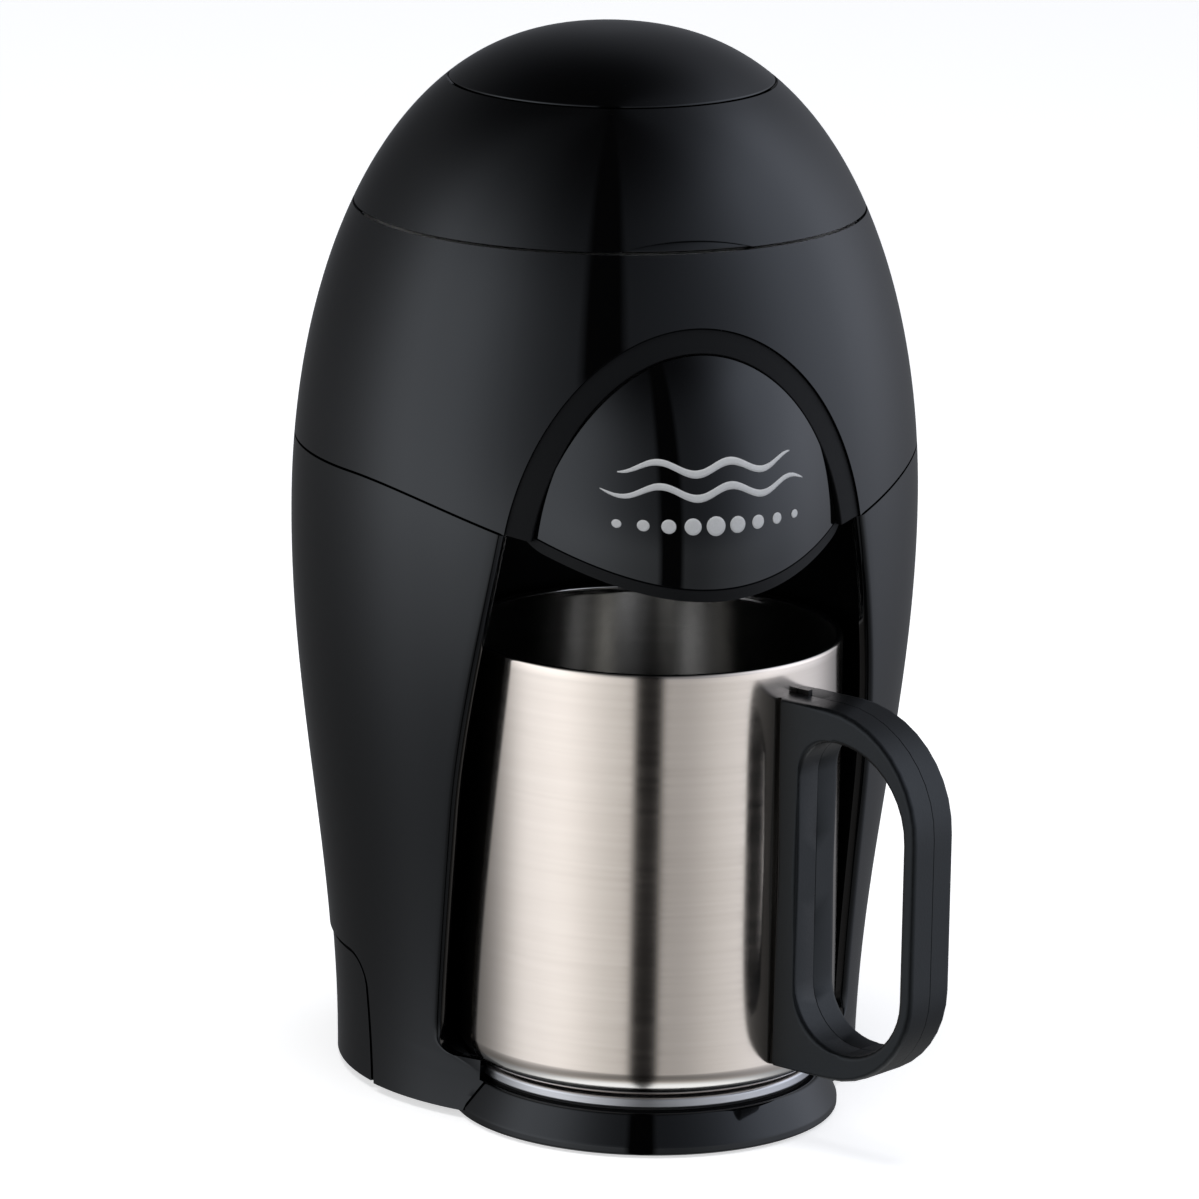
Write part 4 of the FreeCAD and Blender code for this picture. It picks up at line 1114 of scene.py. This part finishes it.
    def skirt_sheet(self, below: float, behind: float, inset: float, back_z: float) -> Surface:
        """Sheet of the rear skirt.

        Args:
            below: distance of its top from the skirt's top.
            behind: distance of its front edge from the skirt's front edge.
            inset: depth under the body's surface.
            back_z: height of its lower edge round the back.

        Returns:
            The open surface.
        """
        share = np.linspace(0, 1, 12)[:-1]
        back = np.linspace(self.skirt_blend, math.pi, 52)
        weight = np.concatenate([share, np.ones(len(back))])
        target = np.concatenate([np.full(len(share), self.skirt_blend), back])
        rise = np.sin(np.linspace(0, np.pi / 2, 30))[:, None]
        low = np.where(weight < 1, self.bottom_z, back_z)[None, :]
        z = low + (self.skirt_top_z - below - low) * rise
        r = self.egg.inner_radius(z, inset)
        front = np.arccos(-(self.skirt_front(z, -below) + behind - below) / r)
        turn = (1 - weight) * front + weight * target
        z = np.concatenate([z, z[:, ::-1][:, 1:]], 1)
        return grid_surface(self.egg.points(self.mirrored(turn), z, inset))

    def switch_pad(self) -> None:
        """Flat pad in the rear skirt that frames the switch."""
        sizes = zip(self.pad_half, self.pad_low_z, self.pad_high_z, self.pad_r)
        outer, inner = (rounded_frame((-x, x), (low, high), (r,) * 4, 4) for x, low, high, r in sizes)
        bar = loop_bar(outer, inner, self.pad_y, 0.5, 0.1)
        surface = grid_surface(bar, wrap_rows=True, wrap_cols=True)
        self.bench.piece("switch_pad", surface, "housing", "gloss_black", ("rear_skirt",))


def eye_ring(axis: tuple[float, float], angle: Array, hole: float, reach: Array, x0: float,
             x1: float) -> Surface:
    """Ring about a line along X: a rectangle section whose outer radius follows the angle.

    Args:
        axis: Y and Z of the line.
        angle: angles in radians, zero upwards and growing to the back.
        hole: radius of the hole.
        reach: outer radius at each angle.
        x0: one face.
        x1: other face.

    Returns:
        The closed surface.
    """
    r = np.stack([np.full(len(angle), hole), reach, reach, np.full(len(angle), hole)])
    x = np.array([x0, x0, x1, x1])[:, None] + 0 * r
    grid = np.stack([x, axis[0] + r * np.sin(angle), axis[1] + r * np.cos(angle)], -1)
    return grid_surface(grid, wrap_rows=True, wrap_cols=True)


@dataclass
class BrewHead:
    """Satin band round the nose, the bay's ceiling, the gloss nose and its silver decoration."""

    bench: Bench
    egg: Egg = field(default_factory=Egg)
    opening: FrontOpening = field(default_factory=FrontOpening)
    band_width: float = 4.9
    band_depth: float = 0.5
    band_thick: float = 3.1
    band_gap: float = 0.15
    ceiling_z: tuple[float, float] = (119.5, 122.0)
    ceiling_r: float = 44.5
    ceiling_inset: float = 9.0
    drip_r: float = 7.5
    seat_r: tuple[float, float] = (20.0, 26.0)
    seat_z: tuple[float, float] = (121.9, 128.0)
    mug_y: float = MUG_Y
    filter_y: float = -17.0
    nose_front_y: float = -71.4
    nose_bend: float = 0.02
    nose_depth: float = 38.6
    nose_z: float = 118.0
    nose_rise: float = 50.6
    nose_wall: float = 2.2
    nose_gap: float = 0.2
    nose_share: float = 0.96
    cut_y: float = -50.7
    cut_z: float = 120.0
    cut_slope: float = 0.4
    lip_height: float = 2.2
    lip_gap: float = 0.35
    lip_half: float = 32.9
    lip_depth: float = 3.0
    lip_round: tuple[float, float] = (29.4, 4.0)
    film_lift: float = 0.05
    film_wall: float = 0.04
    waves: tuple[tuple[float, float, float], ...] = ((137.5, 17.5, 2.5), (133.0, 20.5, 3.0))
    wave_half: float = 0.75
    wave_rise: float = 1.1
    dot_z: float = 126.6
    dot_reach: float = 18.0
    dot_r: float = 1.9
    dot_shrink: float = 0.06

    def build(self) -> None:
        """Makes every piece of the brew head."""
        self.arch_band()
        self.bay_ceiling()
        self.nose()
        self.lip()
        self.decoration()

    def arch_band(self) -> None:
        """Band between two ellipses of the arch, a little under the body's surface."""
        end = math.acos((self.opening.end_z - self.opening.centre_z) / self.opening.rise)
        angle = np.linspace(-end, end, 121)[None, :]
        inset = np.linspace(self.band_width, self.band_gap, 7)[:, None]
        x, z = self.opening.arch(angle, inset)
        r = self.egg.inner_radius(z, self.band_depth)
        grid = np.stack([x, -np.sqrt(r ** 2 - x ** 2), z], -1)
        self.bench.piece("arch_band", grid_surface(grid), "housing", "satin_black", ("brew_head",),
                         self.band_thick, 0.3)

    def bay_ceiling(self) -> None:
        """Ceiling plate round the drip hole, and the ring that the filter basket sits on.

        Seen from the drip hole, the plate reaches to the nearest of the bay's round back, its
        straight sides and the body's inside.
        """
        angle = whole_turn(160)
        sx, sy = np.sin(angle), -np.cos(angle)
        back = ray_to_circle(sx, sy, self.filter_y - self.mug_y, self.ceiling_r)
        body = ray_to_circle(sx, sy, self.filter_y, self.egg.belly_r - self.ceiling_inset)
        side = self.ceiling_r / np.maximum(np.abs(sx), 1e-6)
        behind = self.filter_y + back * sy > self.mug_y
        reach = np.minimum(np.where(behind, back, side), body)
        hole = np.full(len(angle), self.drip_r)
        r = np.stack([hole, reach, reach, hole])
        under, above = self.ceiling_z
        z = np.array([under, under, above, above])[:, None] + 0 * r
        grid = np.stack([r * sx, self.filter_y + r * sy, z], -1)
        plate = grid_surface(grid, wrap_rows=True, wrap_cols=True)
        near, far = self.seat_r
        low, high = self.seat_z
        seat = rounded_corners([(near, low, 0), (far, low, 0), (far, high, 0.4), (near, high, 0.4)])
        surface = plate.joined(spun(seat, self.filter_y, whole_turn(72)))
        self.bench.piece("bay_ceiling", surface, "housing", "satin_black", ("brew_head",))

    def dome_y(self, x: Array, z: Array, lift: float = 0.0) -> Array:
        """Y of the nose: upright and then a quarter ellipse in side view, carried along a parabola.

        Args:
            x: X of the points.
            z: their heights.
            lift: distance in front of the nose.

        Returns:
            Y of the points.
        """
        share = np.clip((z - self.nose_z) / self.nose_rise, 0, 0.999)
        back = self.nose_depth * (1 - np.sqrt(1 - share ** 2))
        return self.nose_front_y + self.nose_bend * x ** 2 + back - lift

    def cut_height(self, x: Array, raise_by: float = 0.0) -> Array:
        """Height at which the nose meets its tilted cutting plane.

        Args:
            x: X of the points.
            raise_by: how far the plane is raised.

        Returns:
            Heights.
        """
        z = np.full(np.shape(x), self.nose_z)
        for _ in range(25):
            z = self.cut_z + raise_by + self.cut_slope * (self.dome_y(x, z) - self.cut_y)
        return z

    def nose(self) -> None:
        """Gloss nose inside the band: columns of one X from the tilted lower edge to the arch."""
        inset = self.band_width + self.nose_gap
        wide, tall = self.opening.half_width - inset, self.opening.rise - inset
        x = self.nose_share * wide * np.sin(np.linspace(-np.pi / 2, np.pi / 2, 75))
        top = self.opening.centre_z + tall * np.sqrt(1 - (x / wide) ** 2)
        low = self.cut_height(x, self.lip_height + self.lip_gap)
        z = low + (top - low) * np.linspace(0, 1, 30)[:, None]
        x = x + 0 * z
        grid = np.stack([x, self.dome_y(x, z), z], -1)
        self.bench.piece("nose_dome", grid_surface(grid), "housing", "gloss_black", ("nose_panel",),
                         self.nose_wall, 0.4)

    def lip(self) -> None:
        """Front edge of the nose's tilted underside, as a strip under the panel.

        Past a given X the strip's lower edge climbs along a circle, which rounds both ends.
        """
        x = np.linspace(-self.lip_half, self.lip_half, 101)
        top = self.cut_height(x) + self.lip_height
        start, r = self.lip_round
        climb = r - np.sqrt(r ** 2 - np.clip(np.abs(x) - start, 0, r) ** 2)
        low = top - self.lip_height + np.minimum(climb, self.lip_height - 0.02)
        z = low + (top - low) * np.linspace(0, 1, 3)[:, None]
        x = x + 0 * z
        y = self.dome_y(x, z)
        behind = np.stack([x, y + self.lip_depth, z + self.lip_depth * self.cut_slope], -1)
        surface = thick_sheet(np.stack([x, y, z], -1), behind)
        self.bench.piece("nose_lip", surface, "housing", "satin_black", ("brew_head",), edge=0.5)

    def film(self, x: Array, z: Array) -> Surface:
        """Patch of film on the nose, a hair above it, over a grid of X and Z."""
        return grid_surface(np.stack([x, self.dome_y(x, z, self.film_lift), z], -1))

    def decoration(self) -> None:
        """Silver decoration: two level waves over a row of dots that grow to the middle.

        A wave is z = middle + rise sin(n pi t) with a half width that shrinks as sqrt(1 - t^2), and a
        dot is a disc.
        """
        t = np.linspace(-1, 1, 90)[None, :]
        across = np.linspace(-1, 1, 4)[:, None]
        surface = None
        thick = self.wave_half * np.sqrt(np.clip(1 - t ** 2, 0.02, 1))
        for middle_z, half, count in self.waves:
            z = middle_z + self.wave_rise * np.sin(count * np.pi * t) + across * thick
            wave = self.film(half * t + 0 * z, z)
            surface = wave if surface is None else surface.joined(wave)
        ring = np.linspace(0, 2 * np.pi, 21)[None, :]
        share = np.linspace(0, 1, 4)[:, None]
        for place in np.linspace(-self.dot_reach, self.dot_reach, 9):
            r = share * (self.dot_r - self.dot_shrink * abs(place))
            surface = surface.joined(self.film(place - r * np.sin(ring), self.dot_z + r * np.cos(ring)))
        self.bench.piece("nose_decoration", surface, "housing", TRIM_FINISH, wall=self.film_wall)


def ray_to_circle(sx: Array, sy: Array, start_y: float, r: float) -> Array:
    """Length of rays from (0, start_y) to a circle of radius r about zero."""
    along = start_y * sy
    return -along + np.sqrt(along ** 2 - start_y ** 2 + r ** 2 + 0 * sx)


@dataclass
class Lid:
    """Hinged lid: gloss ring with a finger notch, inlaid dome and hinge knuckle."""

    bench: Bench
    egg: Egg = field(default_factory=Egg)
    lid_z: float = 176.25
    cap_z: float = 201.0
    cap_gap: float = 0.15
    cap_wall: float = 2.2
    wall: float = 2.4
    notch_half: float = 13.5
    notch_rise: float = 1.9
    scoop_past: tuple[float, float] = (1.0, 0.5)
    scoop_depth: tuple[float, float] = (0.3, 0.4)
    scoop_wall: float = 1.2
    hinge: tuple[float, float] = HINGE
    hinge_r: float = HINGE_R
    hole_r: float = 1.46
    knuckle_half: float = 4.9
    lug_room_x: float = 10.3
    lug_room_z: float = 179.6
    web_reach: float = 4.2
    web_drop: float = 0.4

    def build(self) -> None:
        """Makes every piece of the lid."""
        self.ring()
        self.scoop()
        self.dome()
        self.knuckle()

    def ring(self) -> None:
        """Skin from the housing to the dome; a shallow arc at the front lifts its lower edge."""
        r = float(self.egg.radius(np.array(self.lid_z)))
        notch = np.linspace(0, math.asin(self.notch_half / r), 16)
        arc_r = (self.notch_half ** 2 + self.notch_rise ** 2) / (2 * self.notch_rise)
        lift = self.notch_rise - arc_r + np.sqrt(arc_r ** 2 - (r * np.sin(notch)) ** 2)
        far, near = (math.pi - math.asin(x / r) for x in (self.lug_room_x, self.knuckle_half))
        side = np.linspace(notch[-1] + 0.03, far - 0.02, 66)
        room = np.array([far - 0.0005, far + 0.0005, (far + near) / 2, near - 0.0005, near + 0.0005])
        half = np.concatenate([notch, side, room, np.linspace(near + 0.02, math.pi, 4)])
        low = np.full(len(half), self.lid_z)
        low[:len(notch)] += np.clip(lift, 0, None)
        low = np.where((half > far) & (half < near), self.lug_room_z, low)
        top = self.cap_z - self.cap_gap
        z = low + (top - low) * np.linspace(0, 1, 20)[:, None]
        turn = np.broadcast_to(half, z.shape)
        ring = np.concatenate([turn, 2 * np.pi - turn[:, ::-1][:, 1:-1]], 1)
        z = np.concatenate([z, z[:, ::-1][:, 1:-1]], 1)
        surface = grid_surface(self.egg.points(ring, z), wrap_cols=True)
        self.bench.piece("lid_ring", surface, "lid", "gloss_black", ("lid_shell",), self.wall, 0.45)

    def scoop(self) -> None:
        """Shallow wall behind the finger notch: its depth grows with the cube of the height."""
        r = float(self.egg.radius(np.array(self.lid_z)))
        reach = math.asin((self.notch_half + self.scoop_past[0]) / r)
        rise = np.linspace(0, 1, 8)[:, None]
        turn = np.linspace(-reach, reach, 31)[None, :] + 0 * rise
        z = self.lid_z + (self.notch_rise + self.scoop_past[1]) * rise + 0 * turn
        depth = self.scoop_depth[0] + self.scoop_depth[1] * rise ** 3 + 0 * turn
        surface = grid_surface(self.egg.points(turn, z, depth))
        self.bench.piece("lid_scoop", surface, "lid", "gloss_black", ("lid_shell",), self.scoop_wall)

    def dome(self) -> None:
        """Inlaid top: r = R cos(a)^(2/p), z = belly + rise sin(a)^(2/q), from its edge to the pole."""
        rise = self.egg.top_z - self.egg.belly_z
        share = (self.cap_z + self.cap_gap - self.egg.belly_z) / rise
        start = math.asin(share ** (self.egg.power_z / 2))
        a = np.linspace(start, np.pi / 2, 26)[:, None]
        r = self.egg.belly_r * np.clip(np.cos(a), 0, 1) ** (2 / self.egg.power_r)
        r[-1] = 0
        z = self.egg.belly_z + rise * np.sin(a) ** (2 / self.egg.power_z)
        turn = whole_turn(128)[None, :]
        grid = np.stack([r * np.sin(turn), -r * np.cos(turn), z + 0 * turn], -1)
        self.bench.piece("lid_dome", grid_surface(grid, wrap_cols=True), "lid", "gloss_black", ("lid_cap",),
                         self.cap_wall, 0.4)

    def knuckle(self) -> None:
        """Eye about the hinge pin, with a web that reaches forward into the lid."""
        angle = whole_turn(64)
        ahead = np.maximum(-np.sin(angle), 1e-6)
        high = np.maximum(np.cos(angle), 1e-6)
        low = np.maximum(-np.cos(angle), 1e-6)
        web = np.minimum(np.minimum(self.web_reach / ahead, self.hinge_r / high), self.web_drop / low)
        reach = np.where(np.sin(angle) < 0, np.maximum(web, self.hinge_r), self.hinge_r)
        surface = eye_ring(self.hinge, angle, self.hole_r, reach, -self.knuckle_half, self.knuckle_half)
        self.bench.piece("lid_knuckle", surface, "lid", "gloss_black", ("lid_shell",), edge=0.4)


@dataclass
class MugBase:
    """Flared foot under the mug and the silver plate on it."""

    bench: Bench
    mug_y: float = MUG_Y
    outer_r: float = 38.45
    top_r: float = 35.6
    bottom_z: float = 0.5
    band_z: float = 2.2
    top_z: float = 8.3
    wall: float = 2.2
    arc: float = math.radians(106)
    step_r: float = 33.5
    step: float = 2.0
    deck_r: float = 35.4
    deck_under: float = 0.1
    plate_r: float = 34.4
    plate_z: tuple[float, float] = (9.0, 11.0)
    dish_r: tuple[float, float] = (30.6, 30.0)
    dish: float = 0.25

    def build(self) -> None:
        """Makes the foot and the plate."""
        inner, step_z, deck_z = self.outer_r - self.wall, self.top_z - self.step, self.top_z - self.deck_under
        flare = rounded_corners([(inner, self.bottom_z, 0), (self.outer_r, self.bottom_z, 0.5),
                                 (self.outer_r, self.band_z, 1.2), (self.top_r, self.top_z, 0.7),
                                 (self.step_r, self.top_z, 0), (self.step_r, step_z, 0),
                                 (inner, self.band_z, 0)])
        deck = np.array([(0.0, step_z), (self.deck_r, step_z), (self.deck_r, deck_z), (0.0, deck_z)])
        front = spun(flare, self.mug_y, np.linspace(-self.arc, self.arc, 121), closed=False)
        surface = front.joined(spun(deck, self.mug_y, whole_turn(96)))
        self.bench.piece("base_flare", surface, "housing", "gloss_black", ("base_skirt",))
        low, high = self.plate_z
        plate = rounded_corners([(0.0, low, 0), (self.plate_r, low, 0.3), (self.plate_r, high, 0.5),
                                 (self.dish_r[0], high, 0.3), (self.dish_r[1], high - self.dish, 0.3),
                                 (0.0, high - self.dish, 0)])
        self.bench.piece("plate_disc", spun(plate, self.mug_y, whole_turn(144)), "housing", "plate_aluminium",
                         ("mug_plate",))


@dataclass
class Mug:
    """Straight steel cup with a rolled rim, and its two handle halves."""

    bench: Bench
    mug_y: float = MUG_Y
    r: float = 37.5
    foot_z: float = 11.2
    rim_z: float = 97.1
    wall: float = 0.9
    floor_rise: float = 1.6
    dish: float = 0.5
    dish_in: tuple[float, float] = (7.0, 6.6)
    foot_r: float = 5.5
    bead_r: float = 0.75
    bead_drop: float = 2.2
    root_gap: float = 0.05
    handle_turn: float = -58.0
    handle_half: float = 6.15
    reach: float = 71.64
    handle_z: tuple[float, float] = (16.5, 90.7)
    corner_r: tuple[float, ...] = (0.0, 20.0, 23.0, 0.0)
    hole_x: tuple[float, float] = (42.6, 68.6)
    hole_z: tuple[float, float] = (22.3, 84.2)
    hole_r: tuple[float, ...] = (12.0, 13.5, 17.0, 8.5)
    part_gap: float = 0.012

    def build(self) -> None:
        """Makes the cup and the handle."""
        self.cup()
        self.handle("handle_left", -1, "handle_half_left")
        self.handle("handle_right", 1, "handle_half_right")

    def cup(self) -> None:
        """Cup as a closed profile: dished bottom, rounded foot, straight wall and rolled rim."""
        inner, floor = self.r - self.wall, self.foot_z + self.floor_rise
        dish_z, wall_top = self.foot_z + self.dish, self.rim_z - self.bead_drop
        low = rounded_corners([(0.0, dish_z, 0), (self.r - self.dish_in[0], dish_z, 0.3),
                               (self.r - self.dish_in[1], self.foot_z, 0.3),
                               (self.r, self.foot_z, self.foot_r), (self.r, wall_top, 0)], 8)
        turn = np.linspace(0, np.pi * 1.25, 15)
        middle = np.array([self.r - self.bead_r, self.rim_z - self.bead_r])
        bead = middle + self.bead_r * np.stack([np.cos(turn), np.sin(turn)], -1)
        high = rounded_corners([(inner, wall_top, 0), (inner, floor, self.foot_r), (0.0, floor, 0)], 8)
        profile = np.vstack([low, bead, high])
        surface = spun(profile, self.mug_y, whole_turn(180))
        self.bench.piece("mug_cup_wall", surface, "mug", "mug_steel", ("mug_cup",))

    def handle(self, name: str, side: int, node: str) -> None:
        """Half of the D-shaped handle; its edge at the mug follows the cup's round wall.

        Args:
            name: the piece's name.
            side: -1 for the left half and 1 for the right one.
            node: the CAD node that it stands for.
        """
        root = self.r + self.root_gap
        outer = rounded_frame((root, self.reach), self.handle_z, self.corner_r)
        inner = rounded_frame(self.hole_x, self.hole_z, self.hole_r)
        bar = loop_bar(outer, inner, (self.part_gap, self.handle_half), 1.0, 0.1)
        at_root = bar[..., 0] < root + 1e-6
        bar[..., 0] = np.where(at_root, np.sqrt(root ** 2 - bar[..., 1] ** 2), bar[..., 0])
        bar[..., 1] *= side
        flat = grid_surface(bar, wrap_rows=True, wrap_cols=True)
        surface = flat.turned(self.handle_turn, (0.0, 0.0))
        surface.points[:, 1] += self.mug_y
        self.bench.piece(name, surface, "mug", "handle_black", (node,))


# Stage


@dataclass(frozen=True)
class View:
    """Camera of the photograph, solved from the mug, lid, base and outline, in millimetres."""

    azimuth: float = -17.6
    elevation: float = 14.05
    roll: float = 1.017
    distance: float = 1668.1
    target: tuple[float, float, float] = (-0.7, 0.0, 94.86)
    focal_px: float = 8325.1
    image_px: float = 1199.0
    sensor_mm: float = 36.0

    def build(self, axis_y: float) -> None:
        """Adds the camera and makes it the scene's own.

        Args:
            axis_y: Y of the drawing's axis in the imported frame, in metres.
        """
        az, el, roll = (math.radians(a) for a in (self.azimuth, self.elevation, self.roll))
        back = Vector((math.sin(az) * math.cos(el), -math.cos(az) * math.cos(el), math.sin(el)))
        right = (-back).cross(Vector((0, 0, 1))).normalized()
        up = right.cross(-back)
        turned_right = right * math.cos(roll) + up * math.sin(roll)
        turned_up = up * math.cos(roll) - right * math.sin(roll)
        data = bpy.data.cameras.new("photo_camera")
        data.sensor_width = self.sensor_mm
        data.lens = self.focal_px / self.image_px * self.sensor_mm
        camera = bpy.data.objects.new("photo_camera", data)
        spot = (Vector(self.target) + back * self.distance) * MM + Vector((0, axis_y, 0))
        frame = Matrix((turned_right, turned_up, back)).transposed().to_4x4()
        camera.matrix_world = Matrix.Translation(spot) @ frame
        bpy.context.scene.collection.objects.link(camera)
        bpy.context.scene.camera = camera


@dataclass(frozen=True)
class SoftLight:
    """Broad light of the room, brightest at one turn from the camera and one height, in degrees."""

    tint: Colour
    strength: float
    turn: float
    left_half: float
    right_half: float
    height: float
    lower_half: float
    upper_half: float

    def colour(self, graph: Graph, turn: Any, height: Any) -> Socket:
        """Colour in a direction: tint times strength / (1 + a^3) / (1 + b^4).

        Here a is the turn away from the middle over the half width of that side, and b the height
        away from the middle over the half height of that side.

        Args:
            graph: the world's graph.
            turn: degrees from the camera.
            height: degrees above the horizon.

        Returns:
            The colour socket.
        """
        away = graph.add("ShaderNodeMath", {0: graph.maths("SUBTRACT", turn, self.turn), 1: 180.0, 2: -180.0},
                         operation="WRAP").outputs[0]
        rise = graph.maths("SUBTRACT", height, self.height)
        a = self.fall(graph, away, self.left_half, self.right_half, 3.0)
        b = self.fall(graph, rise, self.lower_half, self.upper_half, 4.0)
        spread = graph.maths("MULTIPLY", graph.maths("ADD", a, 1.0), graph.maths("ADD", b, 1.0))
        share = graph.maths("DIVIDE", self.strength, spread)
        return graph.add("ShaderNodeVectorMath", {0: self.tint, "Scale": share}, operation="SCALE").outputs[0]

    @staticmethod
    def fall(graph: Graph, offset: Any, below: float, above: float, power: float) -> Socket:
        """Size of an offset over the half width of its side, to a power."""
        half = graph.spread(graph.maths("GREATER_THAN", offset, 0.0), 0.0, 1.0, below, above)
        return graph.maths("POWER", graph.maths("DIVIDE", graph.maths("ABSOLUTE", offset), half), power)


@dataclass(frozen=True)
class Studio:
    """White room with a broad light on each side of a dark gap, and a pale floor."""

    camera_turn: float = -17.6
    gap_left: tuple[float, float] = (-12.0, -8.0)
    gap_right: tuple[float, float] = (5.0, 9.0)
    gap_light: float = 0.02
    floor_glow: float = 0.6
    floor_size: float = 6.0
    floor_tone: float = 0.85
    lamp_power: float = 7.0
    lamp_size: float = 0.9
    lamp_place: tuple[float, float, float] = (-0.15, -0.1, 1.1)
    lights: tuple[SoftLight, ...] = (
        SoftLight((0.98, 1.0, 1.05), 1.42, -70.0, 28.0, 34.0, 7.0, 26.0, 30.0),
        SoftLight((0.955, 1.0, 1.13), 1.42, 100.0, 44.0, 33.0, 24.0, 38.0, 30.0),
        SoftLight((1.0, 1.0, 1.0), 0.42, -27.0, 35.0, 35.0, -14.0, 10.0, 10.0),
        SoftLight((1.0, 1.0, 1.0), 0.42, 55.0, 30.0, 30.0, -14.0, 10.0, 10.0),
        SoftLight((1.0, 1.0, 1.0), 1.1, 0.0, 1000.0, 1000.0, -75.0, 24.0, 24.0))

    def build(self) -> None:
        """Sets the world, the lamp and the floor."""
        self.world()
        self.lamp()
        self.floor()
        bpy.context.scene.view_settings.view_transform = "Standard"

    def world(self) -> None:
        """Sum of the room's lights by direction; the camera itself sees plain white."""
        world = bpy.data.worlds.new("studio")
        world.use_nodes = True
        graph = Graph(world.node_tree)
        toward = graph.add("ShaderNodeTexCoord").outputs["Generated"]
        x, y, z = graph.add("ShaderNodeSeparateXYZ", {"Vector": toward}).outputs
        turn = graph.maths("ARCTAN2", x, graph.maths("MULTIPLY", y, -1.0))
        turn = graph.maths("SUBTRACT", graph.maths("DEGREES", turn), self.camera_turn)
        height = graph.maths("DEGREES", graph.maths("ARCSINE", z))
        total = (0.0, 0.0, 0.0)
        for light in self.lights:
            parts = {0: total, 1: light.colour(graph, turn, height)}
            total = graph.add("ShaderNodeVectorMath", parts, operation="ADD").outputs[0]
        left = graph.spread(turn, *self.gap_left, 1.0, self.gap_light)
        right = graph.spread(turn, *self.gap_right, self.gap_light, 1.0)
        gap = graph.maths("MAXIMUM", left, right)
        room = graph.add("ShaderNodeBackground", {"Color": total, "Strength": gap})
        white = graph.add("ShaderNodeBackground", {"Color": (1, 1, 1, 1), "Strength": 1.0})
        seen = graph.add("ShaderNodeLightPath").outputs["Is Camera Ray"]
        mix = graph.add("ShaderNodeMixShader", {0: seen, 1: room.outputs[0], 2: white.outputs[0]})
        out = graph.add("ShaderNodeOutputWorld")
        graph.feed(out, "Surface", mix.outputs[0])
        bpy.context.scene.world = world

    def lamp(self) -> None:
        """Large soft lamp overhead, for the shadow on the floor."""
        data = bpy.data.lights.new("overhead", "AREA")
        data.shape = "DISK"
        data.size = self.lamp_size
        data.energy = self.lamp_power
        lamp = bpy.data.objects.new("overhead", data)
        lamp.location = self.lamp_place
        lamp.visible_glossy = False
        bpy.context.scene.collection.objects.link(lamp)

    def floor(self) -> None:
        """Pale floor that glows to white for the camera and keeps the shadow."""
        half = self.floor_size / 2
        mesh = bpy.data.meshes.new("floor")
        corners = [(-half, -half, 0), (half, -half, 0), (half, half, 0), (-half, half, 0)]
        mesh.from_pydata(corners, [], [(0, 1, 2, 3)])
        floor = bpy.data.objects.new("floor", mesh)
        bpy.context.scene.collection.objects.link(floor)
        floor.visible_glossy = False
        material = bpy.data.materials.new("pale_floor")
        material.use_nodes = True
        graph = Graph(material.node_tree)
        matt = graph.add("ShaderNodeBsdfDiffuse", {"Color": (*[self.floor_tone] * 3, 1)})
        seen = graph.add("ShaderNodeLightPath").outputs["Is Camera Ray"]
        glow = graph.add("ShaderNodeEmission", {"Color": (1, 1, 1, 1),
                                                "Strength": graph.maths("MULTIPLY", seen, self.floor_glow)})
        both = graph.add("ShaderNodeAddShader", {0: matt.outputs[0], 1: glow.outputs[0]})
        out = graph.add("ShaderNodeOutputMaterial")
        graph.feed(out, "Surface", both.outputs[0])
        mesh.materials.append(material)


def main() -> None:
    """Loads the frame, builds every sub-assembly, dresses the CAD nodes and sets the stage."""
    logging.basicConfig(level=logging.INFO, format="%(message)s")
    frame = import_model()
    hinge = next(j for j in frame["joints"] if j["name"] == "lid_hinge")
    axis_y = hinge["pos_m"][1] - HINGE[0] * MM
    bench = Bench(frame["nodes"], axis_y, Palette(axis_y + MUG_Y * MM).finishes())
    for part in (Housing(bench), BrewHead(bench), Lid(bench), MugBase(bench), Mug(bench)):
        part.build()
    for row in frame["record"]["subparts"]:
        bench.dress(row["node"], row["material_slot"])
    View().build(axis_y)
    Studio().build()


if __name__ == "__main__":
    main()
